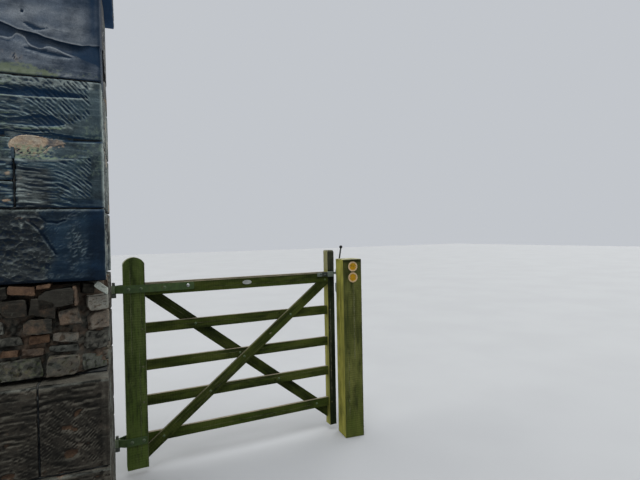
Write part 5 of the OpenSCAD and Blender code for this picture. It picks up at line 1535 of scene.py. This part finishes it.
# ---------------------------------------------------------------- metalwork
def mesh_object(name, bm, group, body, material, node=None, smooth=True, rounds=True, sharp=35.0):
    """A Blender object from a bmesh in mm."""
    bmesh.ops.recalc_face_normals(bm, faces=bm.faces)
    me = bpy.data.meshes.new(name)
    bm.to_mesh(me)
    bm.free()
    n = len(me.vertices)
    co = np.empty(n * 3, np.float32)
    me.vertices.foreach_get("co", co)
    V = to_frame(co.reshape(-1, 3).astype(float), group)
    me.vertices.foreach_set("co", V.astype(np.float32).ravel())
    if smooth:
        me.polygons.foreach_set("use_smooth", np.ones(len(me.polygons), bool))
        me.set_sharp_from_angle(angle=math.radians(sharp))
    me.update()
    ob = bpy.data.objects.new(name, me)
    bpy.context.scene.collection.objects.link(ob)
    mats = material if isinstance(material, (list, tuple)) else [material]
    for mt in mats:
        me.materials.append(mt)
    if node:
        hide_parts(*([node] if isinstance(node, str) else node))
    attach(ob, body)
    if rounds:
        wear_value(ob)
    return ob


def wear_value(ob):
    """Marks worn arrises: how far each point stands out from its neighbours, in mm."""
    me = ob.data
    n = len(me.vertices)
    co = np.empty(n * 3, np.float32)
    me.vertices.foreach_get("co", co)
    V = co.reshape(-1, 3).astype(float) * 1000
    e = np.empty(len(me.edges) * 2, np.int32)
    me.edges.foreach_get("vertices", e)
    e = e.reshape(-1, 2)
    e = np.concatenate([e, e[:, ::-1]])
    count = np.maximum(np.bincount(e[:, 0], minlength=n), 1).astype(float)
    A = np.stack([np.bincount(e[:, 0], weights=V[e[:, 1], k], minlength=n) for k in range(3)], 1) / count[:, None]
    N = np.empty(n * 3, np.float32)
    me.vertex_normals.foreach_get("vector", N)
    val = np.clip(((V - A) * N.reshape(-1, 3)).sum(1), -1, 1)
    at = me.attributes.get("ridge") or me.attributes.new("ridge", "FLOAT", "POINT")
    at.data.foreach_set("value", val.astype(np.float32))


def cad_copy(name, node, body, material, bevel=1.2, segments=2, angle=30.0, dent=0.0, seed=0, cut=6.0):
    """A CAD node's own shape with its hard edges rounded, as worn steel has them."""
    bm = bmesh.new()
    bm.from_mesh(NODES[node].data)
    bmesh.ops.remove_doubles(bm, verts=bm.verts, dist=1e-6)
    bmesh.ops.dissolve_limit(bm, angle_limit=math.radians(0.6), verts=bm.verts, edges=bm.edges)
    hard = [e for e in bm.edges if len(e.link_faces) == 2 and e.calc_face_angle(0) > math.radians(angle)]
    if hard and bevel:
        bmesh.ops.bevel(bm, geom=hard, offset=bevel / 1000.0, segments=segments, affect="EDGES", profile=0.6, clamp_overlap=True)
    bmesh.ops.triangulate(bm, faces=[f for f in bm.faces if len(f.verts) > 4])
    bmesh.ops.recalc_face_normals(bm, faces=bm.faces)
    me = bpy.data.meshes.new(name)
    bm.to_mesh(me)
    bm.free()
    me.polygons.foreach_set("use_smooth", np.ones(len(me.polygons), bool))
    me.set_sharp_from_angle(angle=math.radians(32))
    ob = bpy.data.objects.new(name, me)
    bpy.context.scene.collection.objects.link(ob)
    me.materials.append(material)
    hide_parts(node)
    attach(ob, body)
    wear_value(ob)
    return ob


def lathe(profile, seg=32, wobble=0.0, seed=0):
    """A turned shape about local Z from (radius, height) pairs in mm."""
    bm = bmesh.new()
    rows = []
    for r, z in profile:
        if r < 1e-6:
            rows.append([bm.verts.new((0, 0, z))])
        else:
            rows.append([bm.verts.new((r * math.cos(2 * math.pi * i / seg), r * math.sin(2 * math.pi * i / seg), z)) for i in range(seg)])
    for a, b in zip(rows, rows[1:]):
        for i in range(seg):
            j = (i + 1) % seg
            if len(a) == 1 and len(b) > 1:
                bm.faces.new((a[0], b[i], b[j]))
            elif len(b) == 1 and len(a) > 1:
                bm.faces.new((a[i], b[0], a[j]))
            elif len(a) > 1:
                bm.faces.new((a[i], b[i], b[j], a[j]))
    for row, flip in ((rows[0], True), (rows[-1], False)):
        if len(row) > 1:
            bm.faces.new(row if not flip else row[::-1])
    return bm


def aim(bm, at, direction):
    """Moves a shape made about Z so that Z points along direction from the point at, in mm."""
    rot = Vector((0, 0, 1)).rotation_difference(Vector(direction)).to_matrix().to_4x4()
    bmesh.ops.transform(bm, matrix=Matrix.Translation(Vector(at)) @ rot, verts=bm.verts)
    return bm


def hexagon(af, h, chamfer=1.0, hole=0.0):
    """A nut's outline, chamfered on its outer face."""
    bm = bmesh.new()
    R = af / math.sqrt(3)
    rows = []
    for r, z in ((R, 0), (R, h - chamfer), (R - chamfer, h)):
        rows.append([bm.verts.new((r * math.cos(math.pi / 3 * i), r * math.sin(math.pi / 3 * i), z)) for i in range(6)])
    for a, b in zip(rows, rows[1:]):
        for i in range(6):
            j = (i + 1) % 6
            bm.faces.new((a[i], a[j], b[j], b[i]))
    bm.faces.new(rows[0][::-1])
    bm.faces.new(rows[-1])
    return bm


def merged(bms):
    out = bmesh.new()
    for b in bms:
        me = bpy.data.meshes.new("tmp")
        b.to_mesh(me)
        b.free()
        out.from_mesh(me)
        bpy.data.meshes.remove(me)
    return out


DOME = [(0.0, 6.4), (2.4, 6.2), (5.0, 5.5), (7.6, 4.3), (9.8, 2.8), (11.4, 1.2), (12.0, 0.3), (11.8, -0.4)]


def dome(at, direction, size=1.0):
    """A coach bolt's domed head."""
    prof = [(r * size, z * size) for r, z in reversed(DOME)]
    return aim(lathe(prof, 28), at, direction)


def nut(at, direction, turn=0.0):
    """A washer, a nut and the end of its bolt."""
    parts = []
    w = lathe([(14.0, -0.4), (14.2, 0.4), (14.0, 2.0), (13.2, 2.4), (0.0, 2.4)][:4] + [(0.0, 2.4)], 32)
    parts.append(w)
    h = hexagon(18.5, 9.0, 1.2)
    bmesh.ops.transform(h, matrix=Matrix.Translation((0, 0, 2.2)) @ Matrix.Rotation(turn, 4, "Z"), verts=h.verts)
    parts.append(h)
    parts.append(lathe([(5.8, 9.0), (5.8, 15.5), (5.0, 16.6), (0.0, 16.8)], 24))
    b = merged(parts)
    return aim(b, at, direction)


def screw(at, direction, r=5.0):
    b = lathe([(r, -0.5), (r, 0.5), (r * 0.86, 1.6), (r * 0.55, 2.3), (0.0, 2.5)], 24)
    return aim(b, at, direction)


F, R_ = (0, -1, 0), (0, 1, 0)


# top strap leaves and bottom bands: one bar, cranked in to the eye
def strap_part(z, reach, s, seed, height=50.0, thick=6.0):
    """A forged strap along the gate. s = 1 for the front leaf, -1 for the rear."""
    pts = np.array([(-49.0, -11.5), (-4.6, -38.0), (reach, -38.0)])  # from the pin's line, front leaf
    d0, d1 = pts[1] - pts[0], pts[2] - pts[1]
    l0, l1 = np.linalg.norm(d0), np.linalg.norm(d1)
    L = l0 + l1
    r = 1.3
    ss = ticks(0, L, 5.5 * SCALE, r)
    hs = ticks(-height / 2, height / 2, 4.0 * SCALE, r)
    ts = ticks(-thick / 2, thick / 2, 2.0, r)
    ijk, quads, rings = lattice((len(ss), len(hs), len(ts)))
    P = np.stack([ss[ijk[:, 0]], hs[ijk[:, 1]], ts[ijk[:, 2]]], 1)
    # the free end is cut with clipped corners
    e = L - P[:, 0]
    lim = height / 2 - 5.0 * (1 - sm(e / 7.0))
    base = P.copy()
    Q, inward = rounded(P, (0, -height / 2, -thick / 2), (L, height / 2, thick / 2), r)
    Q[:, 1] = np.clip(Q[:, 1], -lim, lim)
    d = 0.35 * fbm(base / 28.0, 3, seed) + 0.22 * fbm(base / 7.0, 2, seed + 1) + 0.25
    Q = Q + inward * d[:, None]
    u0, u1 = d0 / l0, d1 / l1
    blend = sm((Q[:, 0] - l0 + 9) / 18.0)
    u = u0[None, :] * (1 - blend)[:, None] + u1[None, :] * blend[:, None]
    u /= np.linalg.norm(u, axis=1, keepdims=True)
    nrm = np.stack([-u[:, 1], u[:, 0]], 1)
    along = np.where((Q[:, 0] < l0)[:, None], pts[0] + u0 * Q[:, :1], pts[1] + u1 * (Q[:, :1] - l0))
    xy = along + nrm * Q[:, 2:3]
    y = xy[:, 1] * s
    V = np.stack([xy[:, 0], y + 35.0, Q[:, 1] + z], 1)
    if s < 0:
        quads = quads[:, ::-1]
    return Part(V, quads, rings, {})


for nm, node, z, reach, s, seed in (
        ("top_strap_front_bar", "top_strap_front", 1211.0, 443.0, 1, 701), ("top_strap_rear_bar", "top_strap_rear", 1211.0, 443.0, -1, 711),
        ("bottom_band_front_bar", "bottom_band_front", 227.0, 122.0, 1, 721), ("bottom_band_rear_bar", "bottom_band_rear", 227.0, 122.0, -1, 731)):
    build(nm, strap_part(z, reach, s, seed), "gate", "gate", IRON, node, rounds=(1, 3))

for nm, node in (("top_eye_knuckle", "top_eye"), ("bottom_eye_knuckle", "bottom_eye")):
    cad_copy(nm, node, "gate", IRON, 1.6)
for nm, node in (("top_hook_forging", "top_hook"), ("bottom_hook_forging", "bottom_hook")):
    cad_copy(nm, node, "root", HOOK, 2.2, 3)
for nm, node in (("top_hook_wall_plate", "top_hook_plate"), ("bottom_hook_wall_plate", "bottom_hook_plate")):
    cad_copy(nm, node, "root", HOOK, 1.6)

# strap bolts: domed heads in front, nuts behind
bolts, nuts = [], []
for x in (30.0, 104.0, 250.0):
    bolts.append(dome((x, -5.6, 1211.0), F, 0.9))
for x in (30.0, 104.0, 250.0, 402.0):
    nuts.append(nut((x, 75.6, 1211.0), R_, 0.2 + x * 0.01))
for x in (30.0, 100.0):
    bolts.append(dome((x, -5.6, 227.0), F, 0.95))
    nuts.append(nut((x, 75.6, 227.0), R_, 0.4 + x * 0.01))
mesh_object("strap_bolt_heads", merged(bolts), "gate", "gate", IRON)
mesh_object("strap_end_bolt_head", dome((402.0, -5.6, 1214.0), F, 1.0), "gate", "gate", BRIGHT)
mesh_object("strap_bolt_nuts", merged(nuts), "gate", "gate", IRON)

# brace bolts
bb, bn = [], []
for x, z in ((1444.0, 1188.0), (1150.0, 945.0), (786.0, 680.0), (540.0, 472.0), (226.0, 227.0)):
    bb.append(dome((x, 2.4, z), F, 0.72))
    back = 70.0 if z > 1100 else 46.0
    bn.append(nut((x, back - 0.4, z), R_, x * 0.02))
for z in (948.0, 704.0, 472.0, 227.0):
    x = 130 + (1203 - z) / (1203 - 146) * 1338
    bb.append(dome((x, 24.4, z), F, 0.72))
    bn.append(nut((x, 67.6, z), R_, x * 0.02))
bb.append(dome((190.0, 0.4, 1158.0 + 20.0), F, 0.6))
bb.pop().free()
mesh_object("brace_bolt_heads", merged(bb), "gate", "gate", IRON)
mesh_object("brace_bolt_nuts", merged(bn), "gate", "gate", IRON)

# oak pegs through the tenons, cut flush
pegs = []
for zc in (1206.0, 948.0, 704.0, 472.0, 227.0):
    for x in (108.0, 1486.0):
        if zc in (1206.0, 227.0) and x < 200:
            continue
        if zc == 1206.0:
            continue
        for y, dr in ((0.3, F), (69.7, R_)):
            pegs.append(aim(lathe([(6.2, -0.6), (6.2, 0.5), (5.5, 1.3), (0.0, 1.5)], 20), (x, y, zc), dr))
peg_ob = mesh_object("tenon_pegs", merged(pegs), "gate", "gate", HEAD)
for key in ("algae", "bleach", "stain", "sawn", "fresh"):
    at = peg_ob.data.attributes.new(key, "FLOAT", "POINT")
    at.data.foreach_set("value", np.full(len(peg_ob.data.vertices), 0.1, np.float32))
co = np.empty(len(peg_ob.data.vertices) * 3, np.float32)
peg_ob.data.vertices.foreach_get("co", co)
peg_ob.data.attributes.new("grain", "FLOAT_VECTOR", "POINT").data.foreach_set("vector", co)

# hook plates' bolts in the pier's rear face
hb = []
for z in (1171.0, 188.0):
    for x in (172.0, 300.0):
        h = hexagon(19.0, 9.0, 1.2)
        hb.append(aim(merged([lathe([(14.0, -0.5), (14.0, 1.8), (13.2, 2.3), (0.0, 2.3)], 28), h]), (x, 368.2, z), R_))
mesh_object("hook_plate_bolts", merged(hb), "pier", "root", HOOK)

# striker bar on the latching end
cad_copy("striker_plate", "striker_bar", "gate", BLACK, 1.1)
sc = [screw((1388.0, -8.2, 1228.0), F, 5.0), screw((1440.0, -8.2, 1228.0), F, 5.0)]
mesh_object("striker_screws", merged(sc), "gate", "gate", BLACK)
hole = lathe([(5.4, 0.0), (5.6, 0.6), (4.2, 0.7), (3.6, -0.2), (0.0, -0.6)], 28)
mesh_object("striker_empty_hole", aim(hole, (1404.0, -8.0, 1229.5), F), "gate", "gate", KNOB)

# plain oval plate with a raised rim and two pins
def oval():
    bm = bmesh.new()
    rows = []
    n = 64
    for k_, (sc_, y) in enumerate(((1.0, 0.0), (1.0, -1.5), (0.985, -2.0), (0.93, -2.0), (0.91, -1.5), (0.0, -1.55))):
        if sc_ == 0:
            rows.append([bm.verts.new((816, y, 1208))])
            continue
        ring = []
        for i in range(n):
            a = 2 * math.pi * i / n
            ring.append(bm.verts.new((816 + sc_ * 33.0 * math.cos(a), y, 1208 + sc_ * 14.6 * math.sin(a))))
        rows.append(ring)
    for a, b in zip(rows, rows[1:]):
        for i in range(n):
            j = (i + 1) % n
            if len(b) == 1:
                bm.faces.new((a[i], a[j], b[0]))
            else:
                bm.faces.new((a[i], a[j], b[j], b[i]))
    bm.faces.new(rows[0][::-1])
    return bm


mesh_object("plain_oval_plate", oval(), "gate", "gate", PLATE, "oval_plate")
mesh_object("oval_plate_pins", merged([screw((816 - 26.0, -1.6, 1208), F, 1.7), screw((816 + 26.0, -1.6, 1208), F, 1.7)]), "gate", "gate", PLATE)

# latch
for nm, node, mt, sl, bv in (
        ("latch_wall_plate", "latch_back_plate", ZINC, "galvanised_steel", 1.2), ("latch_rounded_housing", "latch_housing", ZINC, "galvanised_steel", 2.2),
        ("latch_pivot_bolt", "latch_pivot", ZINC, "galvanised_steel", 1.0)):
    cad_copy(nm, node, "root", mt, bv)
cad_copy("latch_catch_plate", "latch_catch", "lever", ZINC, 1.0)
cad_copy("lever_bent_rod", "lever_rod", "lever", ROD, 0.8)
ball = [(13.0 * math.sin(math.pi * i / 22), -13.0 * math.cos(math.pi * i / 22)) for i in range(23)]
ball = [(0.0, ball[0][1])] + ball[1:-1] + [(0.0, ball[-1][1])]
mesh_object("lever_ball", aim(lathe(ball, 44), (64.0, 42.0, 1436.0), (0, 0, 1)), "post", "lever", KNOB, node="lever_knob")
ls = [screw((84.0, 5.2, 1175.0), R_, 5.0), screw((12.0, 5.2, 1175.0), R_, 5.0), screw((84.0, 5.2, 1050.0), R_, 5.0), screw((12.0, 5.2, 1050.0), R_, 5.0)]
mesh_object("latch_plate_screws", merged(ls), "post", "root", ZINC)

# waymark discs, left plain: cream rim round an amber field
for nm, node, z in (("upper_waymark_disc_dish", "upper_waymark_disc", 1292.0), ("lower_waymark_disc_dish", "lower_waymark_disc", 1210.0)):
    bm = lathe([(37.2, 0.0), (37.5, 0.6), (37.5, 2.2), (36.9, 2.9), (35.9, 3.0), (27.6, 2.7), (27.0, 2.1), (26.0, 1.9), (12.0, 2.1), (4.0, 2.2), (0.0, 2.2)], 72)
    for f in bm.faces:
        c = f.calc_center_median()
        f.material_index = 1 if math.hypot(c.x, c.y) < 27.2 and c.z > 1.0 else 0
    aim(bm, (79.0, -150.0, z), F)
    mesh_object(nm, bm, "post", "root", [DISC_RING, DISC_FIELD], node, rounds=False)
nails = [screw((79.0 + dx, -152.2, z), F, 1.8) for z in (1292.0, 1210.0) for dx in (-20.0, 20.0)]
mesh_object("disc_nails", merged(nails), "post", "root", ZINC)

# ---------------------------------------------------------------- stage, light and camera
def floor():
    t = Tree("plain_floor")
    col = t.mix(t.ramp(t.noise(t.coord, 0.8, 3.0), 0.3, 0.7), (0.328, 0.332, 0.338), (0.343, 0.347, 0.353))
    mat = t.done(col, 0.9, spec=0.15)
    me = bpy.data.meshes.new("floor")
    s = 40.0
    me.from_pydata([(-s, -s, 0), (s, -s, 0), (s, s, 0), (-s, s, 0)], [], [(0, 1, 2, 3)])
    ob = bpy.data.objects.new("floor", me)
    bpy.context.scene.collection.objects.link(ob)
    me.materials.append(mat)
    ob.location = (0, 0, -0.001)


floor()


def sun(name, toward, strength, angle, color=(1, 1, 1)):
    """An even soft light from the direction toward."""
    ld = bpy.data.lights.new(name, "SUN")
    ld.energy = strength
    ld.angle = math.radians(angle)
    ld.color = color
    ob = bpy.data.objects.new(name, ld)
    bpy.context.scene.collection.objects.link(ob)
    ob.rotation_euler = Vector(toward).to_track_quat("Z", "Y").to_euler()
    ob.location = Vector(toward) * 5
    return ob


sun("overhead_soft", (-0.12, -0.38, 1.0), 2.0, 34, (0.96, 0.98, 1.0))
sun("field_side_soft", (-0.35, 0.9, 0.75), 0.9, 60, (1.0, 1.0, 0.97))
sun("left_soft", (-1.0, 0.28, 0.42), 1.4, 40, (1.0, 1.0, 0.93))
sun("right_soft", (1.0, 0.4, 0.5), 1.7, 50, (1.0, 1.0, 0.98))

world = bpy.data.worlds.new("studio")
bpy.context.scene.world = world
world.use_nodes = True
bg = world.node_tree.nodes["Background"]
bg.inputs["Color"].default_value = (0.90, 0.94, 1.0, 1)
bg.inputs["Strength"].default_value = 0.6

cam_data = bpy.data.cameras.new("camera")
cam_data.sensor_fit = "HORIZONTAL"
cam_data.sensor_width = 36.0
cam_data.lens = 26.0471
cam_data.clip_end = 200.0
cam = bpy.data.objects.new("camera", cam_data)
bpy.context.scene.collection.objects.link(cam)
yaw, pitch, roll = 0.46741164, 0.01465515, -0.01858409
look = Vector((math.sin(yaw) * math.cos(pitch), math.cos(yaw) * math.cos(pitch), -math.sin(pitch)))
right = Vector((math.cos(yaw), -math.sin(yaw), 0.0))
up = right.cross(look)
r_ = math.cos(roll) * right + math.sin(roll) * up
u_ = -math.sin(roll) * right + math.cos(roll) * up
M = Matrix((r_, u_, -look)).transposed().to_4x4()
M.translation = Vector((0.24867, -2.81272, 1.54772))
cam.matrix_world = M
bpy.context.scene.camera = cam
bpy.context.scene.view_settings.view_transform = "Standard"
